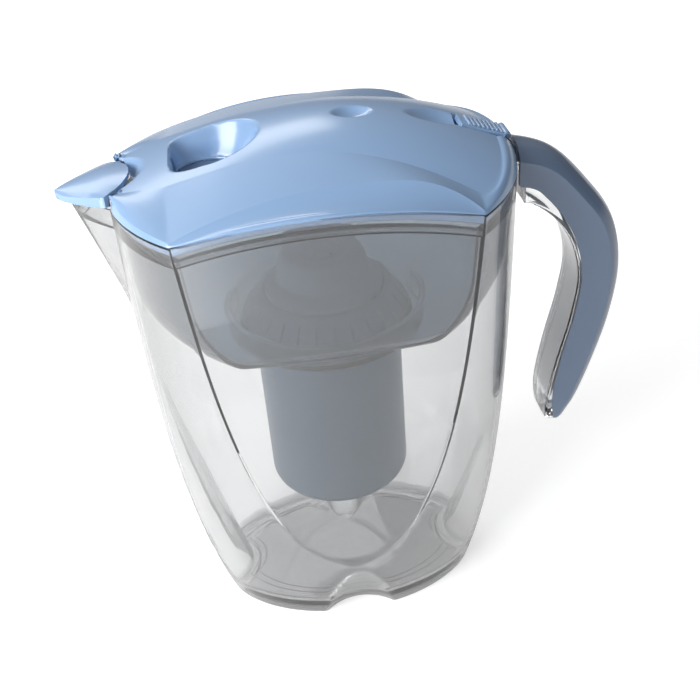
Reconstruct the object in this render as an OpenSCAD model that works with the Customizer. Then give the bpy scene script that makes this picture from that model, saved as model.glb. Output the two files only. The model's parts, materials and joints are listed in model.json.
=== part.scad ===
// Water filter pitcher: a clear jug with a moulded handle, a lift-out hopper,
// a filter cartridge hung in it, and a domed lid with a fill flap, a beak-shaped
// spout flap and a ribbed release lever.
// The beak points along -X, the handle along +X, and the middle of the foot is
// at the origin.

/* [Jug] */
// Half length of the plan at the foot
foot_a = 65; // [60:0.5:70]
// How much the half length grows on the way up
end_gain = 20; // [16:0.5:24]
// Half width of the plan's ellipse at the foot
foot_b = 43; // [40:0.5:46]
// Half width of the same ellipse at the rim, before the side panels cut it
rim_b = 81; // [78:0.5:84]
// Half distance between the side panels at the foot
panel_foot = 47.5; // [45:0.5:50]
// Half distance between the side panels at the rim
panel_rim = 62.5; // [60:0.5:65]
// Height of the rim at the two ends
rim_z = 222; // [214:1:230]
// How much lower the rim is at the handle end
rim_fall = 3.4; // [0:0.2:5]
// Rise of the rim in the middle of each side
rim_arch = 9.4; // [6:0.2:11]
// Wall thickness
wall = 2.4; // [2:0.1:3]
// Height of the floor's top face
floor_z = 7.5; // [6.5:0.5:10]

/* [Flutes] */
// Radius of the two flutes pressed into the ends of the foot
flute_r = 18; // [15:0.5:20]
// Radius of the two flutes pressed into the sides of the foot
side_flute_r = 26; // [20:0.5:30]
// How far in from the foot's outline the end flutes start
flute_depth = 14; // [9:0.5:16]
// How far in from the foot's outline the side flutes start
side_flute_depth = 9; // [6:0.5:11]
// Height where the flute under the spout runs out
flute_tip_z = 126; // [100:1:135]
// Height where the flute under the handle runs out
rear_flute_tip_z = 64; // [50:1:80]
// Height where the side flutes run out
side_flute_tip_z = 31; // [24:1:38]

/* [Spout] */
// Reach of the spout beyond the end wall
spout_reach = 16; // [12:0.5:18]
// Half width of the spout at the rim
spout_w = 18; // [15:0.5:20]
// Height where the spout leaves the wall
spout_low_z = 162; // [150:1:175]

/* [Hopper] */
// Depth of the hopper's rim below the jug's rim
hopper_drop = 7; // [6:0.5:9]
// Height of the hopper's floor
hopper_floor_z = 160; // [156:1:168]
// Wall thickness of the hopper
hopper_wall = 2; // [1.6:0.1:2.6]
// Gap between the hopper's wall and the jug
hopper_gap = 1; // [0.8:0.1:1.4]

/* [Cartridge] */
// Radius of the cartridge's body
cart_r = 33; // [31:0.5:34]
// Height of the cartridge's lower end
cart_low_z = 62.5; // [60:0.5:75]
// Number of slots in the cartridge's skirt
slot_count = 28; // [20:2:36]
// Radius of the cartridge's grip knob
knob_r = 20; // [17:0.5:22]
// Height of the grip knob
knob_h = 18; // [15:0.5:19]
// Length of the spigot under the cartridge
spigot_h = 33.5; // [28:0.5:40]

/* [Lid] */
// Thickness of the lid's skin
lid_wall = 2.2; // [1.8:0.1:2.6]
// Height of the lid's crown above the rim's ends
crown_h = 22; // [20:0.5:24]
// Half width of the top panel between its two creases
crease_w = 25; // [23:0.5:27]
// Gap between the lid and the jug's rim
lid_gap = 0.6; // [0.4:0.1:1]

/* [Handle] */
// Width of the handle across
handle_w = 24; // [20:0.5:26]
// Thickness of the handle cover's skin
cover_wall = 2.4; // [2:0.1:3]
// How far the handle's centre line stands out from the end wall
handle_reach = 40; // [37:0.5:43]
// Height of the handle
handle_h = 146; // [138:1:150]
// Depth of the grip from front to back
handle_depth = 22; // [20:0.5:24]

/* [Hidden] */

round_fn = 96;
pin_fn = 32;
run_fit = 0.05;      // radial clearance of a turning pin
loose = 0.4;         // clearance between pieces that lift apart

end_steps = 24;      // stations round each end of the plan
side_steps = 14;     // stations along each side panel
stations = 2 * (end_steps + side_steps);
spout_share = 8 / end_steps;
seated = 0.05;       // joint between pieces that stay together
end_rise = 60;       // height over which the ends swell
side_bulge = 0.8;
panel_bow = 360;     // radius of the side panels' bow in plan
min_corner = 6;      // half width of the panel where it runs out

body_clear = [0.62, 0.68, 0.74, 0.35];
body_blue = [0.50, 0.66, 0.84];
smoke_blue = [0.40, 0.48, 0.58, 0.6];

// Plan of the jug at height z, moved in by d, and its two ends by e more
function end_a(z, d = 0) = foot_a - d + end_gain * (1 - exp(-z / end_rise));
function side_b(z, d = 0) = let (t = z / rim_z)
    foot_b - d + (rim_b - foot_b) * t + 4 * side_bulge * t * (1 - t);
function panel_y(z, d = 0) = panel_foot - d + (panel_rim - panel_foot) * z / rim_z;

end_x = end_a(rim_z); // where the end walls stand at the rim

// Half length of the side panel, where its bow meets the end's ellipse
function corner_x(z, d = 0, e = 0) =
    let (a = end_a(z, d + e), b = side_b(z, d), y = panel_y(z, d), k = 0.5 / panel_bow,
         p = b * b / (a * a) - 2 * y * k, q = y * y - b * b,
         u = q < 0 ? -2 * q / (p + sqrt(p * p - 4 * k * k * q)) : 0)
    sqrt(max(u, min_corner * min_corner));

// Half width of the plan at x
function side_y(x, z, d = 0, e = 0) =
    min(side_b(z, d) * sqrt(1 - pow(x / end_a(z, d + e), 2)),
        panel_y(z, d) - 0.5 * x * x / panel_bow);

// Which stretch a station is on (0 and 2 side panels, 1 handle end, 3 spout end)
// and how far along it, from -1 to 1
function stretch(i) = i < side_steps ? 0
    : i < side_steps + end_steps ? 1
    : i < 2 * side_steps + end_steps ? 2 : 3;
function along(i) = let (s = stretch(i))
    s == 0 ? 2 * i / side_steps - 1
    : s == 1 ? 2 * (i - side_steps) / end_steps - 1
    : s == 2 ? 2 * (i - side_steps - end_steps) / side_steps - 1
    : 2 * (i - 2 * side_steps - end_steps) / end_steps - 1;

function spout_rise(z) = max(0, (z - spout_low_z) / (rim_z - spout_low_z));
function spout_out(z) = spout_reach * pow(spout_rise(z), 1.15);
function spout_half(z) = 4 + (spout_w - 4) * pow(spout_rise(z), 0.7);

// Turn of a station round its end of the plan, with stations on the spout's folds
function end_turn(f, z, d, spout, e) =
    let (c = acos(corner_x(z, d, e) / end_a(z, d + e)),
         fold = asin(spout_half(z) / side_b(z, d)))
    !spout ? f * c
    : abs(f) <= spout_share ? f / spout_share * fold
    : sign(f) * (fold + (abs(f) - spout_share) / (1 - spout_share) * (c - fold));

function plan_point(i, z, d = 0, with_spout = true, e = 0) =
    let (s = stretch(i), f = along(i))
    s == 0 || s == 2
    ? let (side = s == 0 ? -1 : 1, x = -side * f * corner_x(z, d, e))
      [x, side * side_y(x, z, d, e), z]
    : let (dir = s == 3 ? -1 : 1, spout = s == 3 && with_spout, t = end_turn(f, z, d, spout, e),
           lip = spout && abs(f) < spout_share
               ? spout_out(z) * (1 - abs(f) / spout_share) : 0)
      [dir * (end_a(z, d + e) * cos(t) + lip), dir * side_b(z, d) * sin(t), z];

// Height of the rim at a station: level round each end, sloping from the spout's
// end to the handle's, and arched along the sides
function rim_base(i) = let (s = stretch(i), f = along(i))
    rim_z - rim_fall * (s == 0 ? (1 + f) / 2 : s == 1 ? 1 : s == 2 ? (1 - f) / 2 : 0);
function rim_at(i) = rim_base(i)
    + (stretch(i) % 2 == 0 ? rim_arch * (1 - pow(along(i), 2)) : 0);

// A ring of the plan at a share of the rim's height, plus a step
function rim_ring(t, step = 0, d = 0, with_spout = true) =
    [for (i = [0 : stations - 1]) plan_point(i, t * rim_at(i) + step, d, with_spout)];
function level_ring(z, d = 0, with_spout = true, e = 0) =
    [for (i = [0 : stations - 1]) plan_point(i, z, d, with_spout, e)];

// Solid through rings of the plan, bottom ring first. Each cap is laid in strips
// straight across, which a ring symmetrical about y = 0 allows.
module plan_loft(rings) {
    n = stations;
    last = (len(rings) - 1) * n;
    first_j = n - end_steps / 2;
    run = side_steps + end_steps;
    across = function(i) (2 * side_steps + end_steps - i + 2 * n) % n;
    walls = [for (r = [0 : len(rings) - 2], i = [0 : n - 1])
        let (k = (i + 1) % n, a = r * n, b = a + n)
        each [[a + i, b + i, b + k], [a + i, b + k, a + k]]];
    caps = [for (j = [0 : run - 1])
        let (p = (first_j + j) % n, q = (first_j + j + 1) % n,
             pm = across(p), qm = across(q),
             low = p == pm ? [p, q, qm] : q == qm ? [p, q, pm] : [p, q, qm, pm])
        each [low, [for (m = [len(low) - 1 : -1 : 0]) low[m] + last]]];
    polyhedron([for (r = rings) each r], concat(walls, caps), convexity = 10);
}

// Leaning rods whose inner sides are the flutes, grown by g
module flute_rods(g = 0) {
    rod = function(start, tip_z, tip) atan((tip - start) / tip_z);
    front_lean = rod(foot_a - flute_depth, flute_tip_z, end_a(flute_tip_z));
    rear_lean = rod(foot_a - flute_depth, rear_flute_tip_z, end_a(rear_flute_tip_z));
    side_lean = rod(foot_b - side_flute_depth, side_flute_tip_z,
                    side_b(side_flute_tip_z));
    for (v = [[180, front_lean, foot_a - flute_depth, flute_r, 150],
              [0, rear_lean, foot_a - flute_depth, flute_r, 90],
              [90, side_lean, foot_b - side_flute_depth, side_flute_r, 60],
              [270, side_lean, foot_b - side_flute_depth, side_flute_r, 60]])
        rotate([0, 0, v[0]]) translate([v[2], 0, 0]) rotate([0, v[1], 0])
            translate([v[3], 0, -30]) cylinder(r = v[3] + g, h = 30 + v[4], $fn = 64);
}

panel_levels = [0, 0.05, 0.12, 0.18, 0.195, 0.21, 0.23, 0.255, 0.29, 0.34, 0.4,
                0.47, 0.55, 0.64, 0.73, 0.82, 0.91, 1];
wall_levels = [0.12, 0.19, 0.23, 0.29, 0.37, 0.47, 0.58, 0.7, 0.82];
ledge_z = -hopper_drop - 2.2;
rim_wall = 1.3;
root_x = end_x + 3.5;      // where the handle's core meets the jug's boss
root_z = [rim_z - 21, rim_z - 8];

module jug_cavity() {
    difference() {
        plan_loft([level_ring(floor_z, wall + 1.5), level_ring(floor_z + 3, wall),
                   for (t = wall_levels) rim_ring(t, 0, wall),
                   rim_ring(1, ledge_z - 2, wall), rim_ring(1, ledge_z, wall),
                   rim_ring(1, ledge_z + 0.2, rim_wall), rim_ring(1, 4, rim_wall)]);
        flute_rods(wall);
    }
}

module jug_shell() color(body_clear) {
    difference() {
        union() {
            plan_loft([for (t = panel_levels) rim_ring(t)]);
            translate([end_x - 1.2, -9, root_z[0]])
                cube([root_x - end_x + 1.2, 18, root_z[1] - root_z[0]]);
        }
        jug_cavity();
        flute_rods();
        difference() {
            plan_loft([level_ring(-1, 4.5), level_ring(floor_z - 4, 4.5)]);
            flute_rods(4);
        }
    }
}

// Solid through rings of equal length, each counter-clockwise seen from its end,
// with a flat cap at both ends
module skin(rings) {
    n = len(rings[0]);
    top = len(rings) - 1;
    walls = [for (r = [0 : top - 1], i = [0 : n - 1])
        let (k = (i + 1) % n, a = r * n, b = a + n)
        each [[a + i, b + i, b + k], [a + i, b + k, a + k]]];
    polyhedron([for (r = rings) each r],
               concat(walls, [[for (i = [0 : n - 1]) i]],
                      [[for (i = [n - 1 : -1 : 0]) top * n + i]]), convexity = 10);
}

// The same for a channel: each ring runs out along its outside and back along its
// inside, point against point
module channel(rings) {
    n = len(rings[0]);
    top = (len(rings) - 1) * n;
    walls = [for (r = [0 : len(rings) - 2], i = [0 : n - 1])
        let (k = (i + 1) % n, a = r * n, b = a + n)
        each [[a + i, b + i, b + k], [a + i, b + k, a + k]]];
    caps = [for (i = [0 : n / 2 - 2]) let (k = n - 1 - i)
        each [[i, i + 1, k - 1], [i, k - 1, k],
              [top + k - 1, top + i + 1, top + i], [top + k, top + k - 1, top + i]]];
    polyhedron([for (r = rings) each r], concat(walls, caps), convexity = 10);
}

// Smooth curve through points p, at place u along them
function spline(p, u) =
    let (n = len(p), i = min(floor(u), n - 2), t = u - i,
         a = p[max(i - 1, 0)], b = p[i], c = p[i + 1], d = p[min(i + 2, n - 1)])
    0.5 * (2 * b + t * (c - a) + t * t * (2 * a - 5 * b + 4 * c - d)
           + t * t * t * (3 * b - a - 3 * c + d));

// Handle: centre line with the depth and the core's part of it, as shares of the
// reach, the height and twice the depth of the grip
handle_path = [for (v = [[0.025, 0.078, 1.18, 0.39], [0.31, 0.103, 1.07, 0.3],
                         [0.635, 0.186, 0.955, 0.16], [0.9, 0.299, 1, 0.1],
                         [1, 0.438, 0.98, 0.08], [0.935, 0.596, 0.99, 0.08],
                         [0.795, 0.753, 0.955, 0.08], [0.65, 0.904, 0.8, 0.12],
                         [0.565, 0.997, 0.48, 0.2]])
    [end_x + v[0] * handle_reach, rim_z - v[1] * handle_h, v[2] * handle_depth,
     v[3] * handle_depth]];
handle_rings = 30;

// Point at n outwards and y across from the centre line at place u. The sections
// stand upright where the handle leaves the jug.
function handle_point(u, n, y) =
    let (c = spline(handle_path, u), e = 0.01,
         f = spline(handle_path, min(u + e, len(handle_path) - 1)),
         g = spline(handle_path, max(u - e, 0)),
         d = [f[0] - g[0], f[1] - g[1]] / norm([f[0] - g[0], f[1] - g[1]]),
         k = min(1, max(0, u - 0.3)), v = [1 - k + k * d[0], k * d[1]], t = v / norm(v))
    [c[0] - t[1] * n, -y, c[1] + t[0] * n];

function handle_w_at(u) = let (left = len(handle_path) - 1 - u)
    handle_w / 2 * (left < 1 ? 0.72 + 0.28 * sqrt(1 - pow(1 - left, 2)) : 1);

// Line of the cover's open U, moved in by q: its back is rounded at the edges and
// its mouth looks towards the jug
function cover_line(u, q) =
    let (c = spline(handle_path, u), h = c[2] / 2, m = c[3] - h, w = handle_w_at(u),
         r = min(5, 0.7 * h), k = h - r - 1.2, arc = [15 : 25 : 90])
    [for (v = concat(
        [[m, -w + q], [k, -w + q]],
        [for (a = arc) [k + (r - q) * sin(a), -w + r - (r - q) * cos(a)]],
        [[h - q, 0]],
        [for (a = [90 : -25 : 15]) [k + (r - q) * sin(a), w - r + (r - q) * cos(a)]],
        [[k, w - q], [m, w - q]]))
        handle_point(u, v[0], v[1])];
function cover_section(u) = let (a = cover_line(u, cover_wall), n = len(a))
    concat(cover_line(u, 0), [for (i = [n - 1 : -1 : 0]) a[i]]);

// The core closes the mouth and reaches into it with a rib
function core_section(u) =
    let (c = spline(handle_path, u), h = c[2] / 2, m = c[3] - h - 0.15,
         w = handle_w_at(u), k = w - cover_wall - 0.3, r = min(2, c[3] - 0.5), e = 0.3 * r,
         in = m + min(3, 0.14 * c[2]))
    [for (v = [[-h + r, -w], [m, -w], [m, -k], [in, -k], [in, k], [m, k],
               [m, w], [-h + r, w], [-h + e, w - e], [-h, w - r],
               [-h, -w + r], [-h + e, -w + e]])
        handle_point(u, v[0], v[1])];

function handle_places(start, stop) =
    [for (k = [0 : handle_rings]) start + (stop - start) * k / handle_rings];

module handle_core() color(body_clear) {
    last = len(handle_path) - 1;
    difference() {
        skin([for (u = handle_places(0.32, last)) core_section(u)]);
        handle_peg_hole();
    }
}

module handle_cover() color(body_blue) {
    last = len(handle_path) - 1;
    channel([for (u = handle_places(0, last)) cover_section(u)]);
}

peg_at = spline(handle_path, 7.5);   // the peg crosses the centre line here
peg_lean = 98;
peg_r = 2.2;
module handle_peg_frame() translate([peg_at[0], 0, peg_at[1]]) rotate([0, peg_lean, 0])
    translate([0, 0, -peg_at[2] / 2]) children();
module handle_peg_hole() handle_peg_frame() translate([0, 0, -4])
    cylinder(r = peg_r + run_fit, h = peg_at[2] + 4, $fn = pin_fn);
module handle_peg() color([0.8, 0.85, 0.88]) handle_peg_frame()
    cylinder(r = peg_r, h = peg_at[2] - cover_wall - 0.8, $fn = pin_fn);

// Hopper: a tub that hangs by its flange from the ledge inside the jug's mouth
seat_r = cart_r + 9;         // recess round the cartridge's head
seat_z = hopper_floor_z - 9; // face that the seal lies on
hole_r = cart_r + 1.6;
tub_in = wall + hopper_gap;
flange_in = rim_wall + loose;
flange_low = ledge_z + 0.2 + 0.3;

bilge = 30;           // radius that rounds the hopper's ends under
edge_round = 5;       // radius along the bottom of its sides
bilge_steps = [0, 0.6, 1.8, 3.5, 5.5, 8.5, 12.5, 17.5, 23, 30];
function round_in(r, h) = h >= r ? 0 : r - sqrt(r * r - pow(r - h, 2));
function bilge_ring(h, g) =
    level_ring(hopper_floor_z + h + g * max(0, 1 - h / bilge),
               tub_in + g + round_in(edge_round, h), false, round_in(bilge, h) * 0.85);

module hopper() color(smoke_blue) {
    difference() {
        union() {
            plan_loft([for (h = bilge_steps) bilge_ring(h, 0),
                       rim_ring(0.9, 0, tub_in, false),
                       rim_ring(1, flange_low - 0.1, tub_in, false),
                       rim_ring(1, flange_low, flange_in, false),
                       rim_ring(1, -hopper_drop, flange_in, false)]);
            translate([0, 0, seat_z - hopper_wall])
                cylinder(r = seat_r + hopper_wall, h = hopper_floor_z - seat_z + 5,
                         $fn = round_fn);
        }
        plan_loft([for (h = bilge_steps) bilge_ring(h, hopper_wall),
                   rim_ring(0.9, 0, tub_in + hopper_wall, false),
                   rim_ring(1, 3, tub_in + hopper_wall, false)]);
        translate([0, 0, seat_z])
            cylinder(r = seat_r, h = 40, $fn = round_fn);
        translate([0, 0, seat_z - 10]) cylinder(r = hole_r, h = 40, $fn = round_fn);
    }
}

module hopper_seat_seal() color([0.75, 0.77, 0.79]) translate([0, 0, seat_z])
    difference() {
        cylinder(r = hole_r + 4, h = 1.6, $fn = round_fn);
        translate([0, 0, -1]) cylinder(r = hole_r + 0.4, h = 4, $fn = round_fn);
    }

// Cartridge
head_z = seat_z + 2.2;       // underside of the body's flange
body_wall = 1.8;
foot_round = 6;
mesh_z = head_z - 3.5;
skirt_h = 11;
skirt_r = cart_r + 4;
neck_r = knob_r + 7;
skirt_z = head_z + 2 + seated;
knob_z = skirt_z + skirt_h + seated;

module cartridge_body() color([0.36, 0.44, 0.54]) rotate_extrude($fn = round_fn)
    difference() {
        union() {
            translate([0, cart_low_z + foot_round])
                square([cart_r, head_z + 2 - cart_low_z - foot_round]);
            translate([0, cart_low_z]) square([cart_r - foot_round, foot_round + 1]);
            translate([cart_r - foot_round, cart_low_z + foot_round])
                circle(r = foot_round, $fn = 48);
            translate([0, head_z]) square([cart_r + 3.6, 2]);
        }
        translate([-1, cart_low_z - 1]) square([9, 300]);
        translate([0, cart_low_z + foot_round])
            square([cart_r - body_wall, 300]);
        translate([0, cart_low_z + body_wall])
            square([cart_r - foot_round, 300]);
        translate([cart_r - foot_round, cart_low_z + foot_round])
            circle(r = foot_round - body_wall, $fn = 48);
        translate([-80, 0]) square([80, 400]);
    }

module cartridge_skirt() color([0.80, 0.84, 0.88, 0.8]) {
    base = skirt_z;
    difference() {
        rotate_extrude($fn = round_fn) polygon([
            [cart_r + 1, base], [skirt_r, base], [skirt_r, base + 1.4],
            [neck_r + 3, base + skirt_h], [neck_r, base + skirt_h],
            [neck_r - 1.2, base + skirt_h - 1.5], [cart_r + 1, base + 1.4]]);
        for (k = [0 : slot_count - 1]) rotate([0, 0, 360 * k / slot_count])
            translate([neck_r + 4.5, -0.4, base + 1.8])
                cube([skirt_r - neck_r, 0.8, skirt_h - 4]);
    }
}

module cartridge_knob() color([0.84, 0.87, 0.90, 0.8]) {
    base = knob_z;
    top = base + knob_h;
    difference() {
        rotate_extrude($fn = round_fn) polygon([
            [0, base], [neck_r - 1, base], [neck_r - 1, base + 2.4],
            [knob_r + 3.5, base + 4.5], [knob_r + 0.6, base + 5.4],
            [knob_r, base + 7], [knob_r - 0.6, top - 4],
            [knob_r - 1.8, top - 1.4], [knob_r - 4, top], [0, top]]);
        translate([0, 0, base - 1]) cylinder(r = knob_r - 3, h = top - base - 2.5,
                                             $fn = round_fn);
        for (r = [[knob_r - 9, 1.2], [knob_r - 14, 1]]) translate([0, 0, top - 0.8])
            difference() {
                cylinder(r = r[0], h = 2, $fn = 64);
                translate([0, 0, -1]) cylinder(r = r[0] - r[1], h = 4, $fn = 64);
            }
        for (k = [0 : 5]) rotate([0, 0, 60 * k]) translate([knob_r - 12.4, 0, top - 4])
            cylinder(r = 0.9, h = 6, $fn = 24);
    }
}

module cartridge_seal() color([0.3, 0.32, 0.35]) translate([0, 0, seat_z - 1.3])
    rotate_extrude($fn = round_fn) translate([cart_r + 0.55, 0])
        circle(r = 0.5, $fn = 24);

module mesh_disc(r, z) translate([0, 0, z]) difference() {
    cylinder(r = r, h = 0.8, $fn = round_fn);
    for (ring = [1 : 3], k = [0 : 6 * ring - 1]) rotate([0, 0, 60 * k / ring])
        translate([r * ring / 3.8, 0, -1]) cylinder(r = 1.5, h = 3, $fn = 16);
}
module inlet_mesh() color([0.85, 0.86, 0.86])
    mesh_disc(cart_r - body_wall - seated, mesh_z);
module outlet_mesh() color([0.85, 0.86, 0.86])
    mesh_disc(cart_r - foot_round - 0.5, cart_low_z + body_wall + seated);
module filter_media() color([0.2, 0.2, 0.2])
    translate([0, 0, cart_low_z + body_wall + 5]) cylinder(
        r = cart_r - body_wall - 0.3, h = mesh_z - cart_low_z - body_wall - 5.4,
        $fn = round_fn);
spigot_z = cart_low_z - spigot_h;
spigot_r = cart_r / 2 + 0.5;
spigot_tip_r = 6;
module cartridge_spigot() color(body_clear) rotate_extrude($fn = 64)
    polygon(concat(
        [[spigot_r - 6, cart_low_z - seated]],
        [for (t = [0 : 0.125 : 1])
            [spigot_r + (spigot_tip_r - spigot_r) * pow(t, 1.8),
             cart_low_z - seated - (spigot_h - seated) * t]],
        [[spigot_tip_r - 1.6, spigot_z], [spigot_tip_r - 1.6, spigot_z + 2]]));

// Lid: the crown and the two creases fall away in arcs, straight beyond a reach
function falls(x, peak, drop, reach) = let (d = abs(x - peak), a = min(d, reach))
    drop * (a * a + 2 * reach * (d - a));
function crown_z(x) = rim_z + crown_h
    - (x < 8 ? falls(x, 8, 0.00245, 49) : falls(x, 8, 0.0033, 200));
function crown_slope(x) = atan((crown_z(x - 1) - crown_z(x + 1)) / 2);
function crease_z(x) = rim_z + crown_h - 4
    - (x < -3 ? falls(x, -3, 0.0028, 38) : falls(x, -3, 0.0042, 200));
function crease_y(x) = crease_w + 0.0027 * pow(max(0, x + 33), 2);
function lid_z(x, y) = crown_z(x)
    - (crown_z(x) - crease_z(x)) * pow(y / crease_y(x), 2);

facet_in = panel_rim - 13;   // half width across the facets' upper edges at their peak
facet_rise = crown_h - 9;    // their height there above the edge's own ends
facet_peak = 0.3;            // where the peak lies, from the panel's middle to its end
beak_joint = [2 - end_x, spout_w - 1];
dome_reach = 17;

function facet_swell(h) = let (e = h - facet_peak)
    1 - (e < 0 ? pow(-e / (1 + facet_peak), 2.2) : pow(e / (1 - facet_peak), 2.8));
function facet_point(i) = let (s = stretch(i), f = along(i), cx = corner_x(rim_z),
                               cy = side_y(cx, rim_z) - 0.5)
    s % 2 == 0
    ? let (side = s == 0 ? -1 : 1, h = -side * f, v = facet_swell(h))
      [h * (cx - 0.4), side * (cy + (facet_in - cy) * v), rim_base(i) + 2 + facet_rise * v]
    : let (p = plan_point(i, rim_z, 0.9, false))
      [p[0], p[1], rim_base(i) + 2 + 2.4 * (1 - pow(f, 2))];

function crease_point(i) = let (s = stretch(i), f = along(i), g = abs(f),
                                cx = corner_x(rim_z))
    s % 2 == 0
    ? let (side = s == 0 ? -1 : 1, x = -side * f * cx)
      [x, side * crease_y(x), crease_z(x)]
    : s == 1
    ? let (x = cx + dome_reach * cos(90 * f), y = crease_y(cx) * sin(90 * f))
      [x, y, lid_z(x, y)]
    : let (m = spout_share, h = max(0, (g - m) / (1 - m)), k = min(1, g / m),
           x = beak_joint[0] - 1.5 * (1 - k * k) + (-cx - beak_joint[0]) * h,
           y = -sign(f) * (beak_joint[1] * k
                           + (crease_y(-cx) - beak_joint[1]) * h))
      [x, y, lid_z(x, y)];

// Shoulder between facet and crease, a share t of the way and swelling by w
function shoulder_point(i, t, w) =
    let (p = facet_point(i), q = crease_point(i), v = stretch(i) == 1 ? 2 * w : w)
    (1 - t) * p + t * q + [0, 0, v * 4 * t * (1 - t)];
function top_point(i, t) = let (q = crease_point(i), y = q[1] * t)
    [q[0], y, lid_z(q[0], y)];

function skin_in(p, g) = [p[0] - sign(p[0]) * g * 0.7, p[1] - sign(p[1]) * g * 0.7,
                          p[2] - g];
function all_of(f) = [for (i = [0 : stations - 1]) f(i)];

module lid_solid(g = 0, low = 0) plan_loft([
    rim_ring(1, lid_gap - low, g, false),
    all_of(function(i) skin_in(facet_point(i), g)),
    all_of(function(i) skin_in(shoulder_point(i, 0.25, 0.9), g)),
    all_of(function(i) skin_in(shoulder_point(i, 0.5, 0.9), g)),
    all_of(function(i) skin_in(shoulder_point(i, 0.75, 0.9), g)),
    all_of(function(i) skin_in(crease_point(i), g)),
    all_of(function(i) skin_in(top_point(i, 0.75), g)),
    all_of(function(i) skin_in(top_point(i, 0.45), g)),
    all_of(function(i) skin_in(top_point(i, 0.15), g))]);

// Fill scoop: a D seen from above that closes in to a round hole
scoop_at = 43.5 - end_x;
scoop_r = 20;
scoop_front = 18.5;
hole_at = scoop_at - 1.5;
flap_hole_r = 14;
flap_z = rim_z + 0.5;  // underside of the closed fill flap
function scoop_ring(z, k, g) = [for (j = [0 : 47]) let (a = 7.5 * j, c = cos(a),
        s = sin(a), e = 0.4, front = c < 0)
    [scoop_at + (front ? -pow(-c, e) * (scoop_front * k + g) : c * (scoop_r * k + g)),
     front ? sign(s) * pow(abs(s), e) * (scoop_r * k + g) : s * (scoop_r * k + g), z]];
function hole_ring(z, g) = [for (j = [0 : 47]) let (a = 7.5 * j)
    [hole_at + (flap_hole_r + 0.8 + g) * cos(a), (flap_hole_r + 0.8 + g) * sin(a), z]];
module scoop_form(g = 0) skin([
    hole_ring(flap_z + 3 - g, g), scoop_ring(flap_z + 9, 0.82, g),
    scoop_ring(flap_z + 14, 0.94, g), scoop_ring(flap_z + 19, 1.02, g),
    scoop_ring(flap_z + 26, 1.2, g)]);

// Finger recess and dimple: ovals that a lemon-shaped spindle sinks in the crown,
// given as place, length, width and depth
function sag_r(chord, deep) = (chord * chord / 4 + deep * deep) / (2 * deep);
module oval_cut(v, g = 0) {
    long_r = sag_r(v[1], v[3]);
    wide_r = sag_r(v[2], v[3]);
    translate([v[0], 0, crown_z(v[0])]) rotate([0, crown_slope(v[0]), 0])
        translate([0, 0, wide_r - v[3]]) rotate([0, 90, 0])
        rotate_extrude($fn = 72) intersection() {
            translate([wide_r - long_r, 0]) circle(r = long_r + g, $fn = 160);
            translate([0, -long_r - g]) square([long_r + g, 2 * (long_r + g)]);
        }
}
lever_at = end_x - 19.5;
recess = [lever_at - 12, 29, 15, 3.6];
dimple = [end_x - 66.5, 17, 12, 3];

// Release lever's slot, in the lever's own sloping frame
lever_len = 18;
lever_w = 11.5;
module lever_frame() translate([lever_at, 0, crown_z(lever_at) - 0.6])
    rotate([0, crown_slope(lever_at), 0]) children();
module lever_room(g = 0) lever_frame() {
    translate([-4 - g, -lever_w / 2 - 0.6 - g, -3.4 - g])
        cube([lever_len + 12, lever_w + 1.2 + 2 * g, 12]);
    translate([-4 - g, -lever_w / 2 - 0.6 - g, -5.2 - g])
        cube([7.6 + 2 * g, lever_w + 1.2 + 2 * g, 8]);
}

flap_axis = [hole_at - flap_hole_r - 1.3, flap_z - 2.1];
lever_pin_z = -2.4;
lever_pin_y = lever_w / 2 + 0.6 + lid_wall + 0.3;   // half its length
pin_r = 1.2;
barrel_r = 2.1;
barrel_in = 3.4;      // a spring fills the middle of each barrel
barrel_out = 7.8;     // where the fill flap's barrels end, short of the lid's lugs
barrel_gap = 0.4;     // from a barrel's end to the lug beside it
flap_lug_w = 2.6;     // width of each of those lugs

module y_rod(x, z, r, y0, y1, fn = pin_fn)
    translate([x, y0, z]) rotate([-90, 0, 0]) cylinder(r = r, h = y1 - y0, $fn = fn);
module both_sides() {
    children();
    mirror([0, 1, 0]) children();
}

// A spring's wound sleeve round a pin, its turns as rounded ridges
module wound_sleeve(x, z, half) translate([x, -half, z]) rotate([-90, 0, 0])
    difference() {
        union() {
            cylinder(r = pin_r + 0.6, h = 2 * half, $fn = pin_fn);
            for (k = [0 : 4]) translate([0, 0, half * (0.2 + 0.4 * k) - 0.3])
                cylinder(r = pin_r + 0.85, h = 0.6, $fn = pin_fn);
        }
        translate([0, 0, -1]) cylinder(r = pin_r + 0.15, h = 2 * half + 2, $fn = pin_fn);
    }

// Beak: a low shell over the spout, pointed at its tip and round at its heel, in a
// round bay of the lid whose wall flares outwards
beak_tip = -end_x - spout_reach - 4.5;
beak_len = spout_reach + 5.5;
beak_half = spout_w - 0.2;
beak_low = rim_z + lid_gap;
heel_x = 10.2 - end_x;   // where the heel ends on the middle line
heel_r = spout_w + 2;
bay_x = -end_x - 3.1;
bay_r = spout_w + 0.1;   // radius of the bay at the height bay_z
bay_z = rim_z + 7.5;
bay_flare = 0.5;
function beak_t(x) = min(1, (x - beak_tip) / beak_len);
function beak_ring(x, g, low) = let (t = beak_t(x), w = beak_half * pow(t, 0.62) - g,
        edge = rim_z + 2.8 + 2.6 * t - g * 0.8, crest = rim_z + 3.4 + 4.6 * pow(t, 0.8) - g)
    concat([[x, -w, low], [x, w, low]],
           [for (k = [5 : -1 : -5]) let (y = k / 5)
               [x, y * w, edge + (crest - edge) * (1 - y * y)]]);
beak_xs = [0.1, 0.5, 1.2, 2.4, 4, 6, 8.5, 11.5, 15, 19, 23, 27, 31, 36];
beak_axis = [4.5 - end_x, rim_z + 2.6];
lug_in = 9.4;
lug_out = 12;
lug_r = 2;

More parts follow.
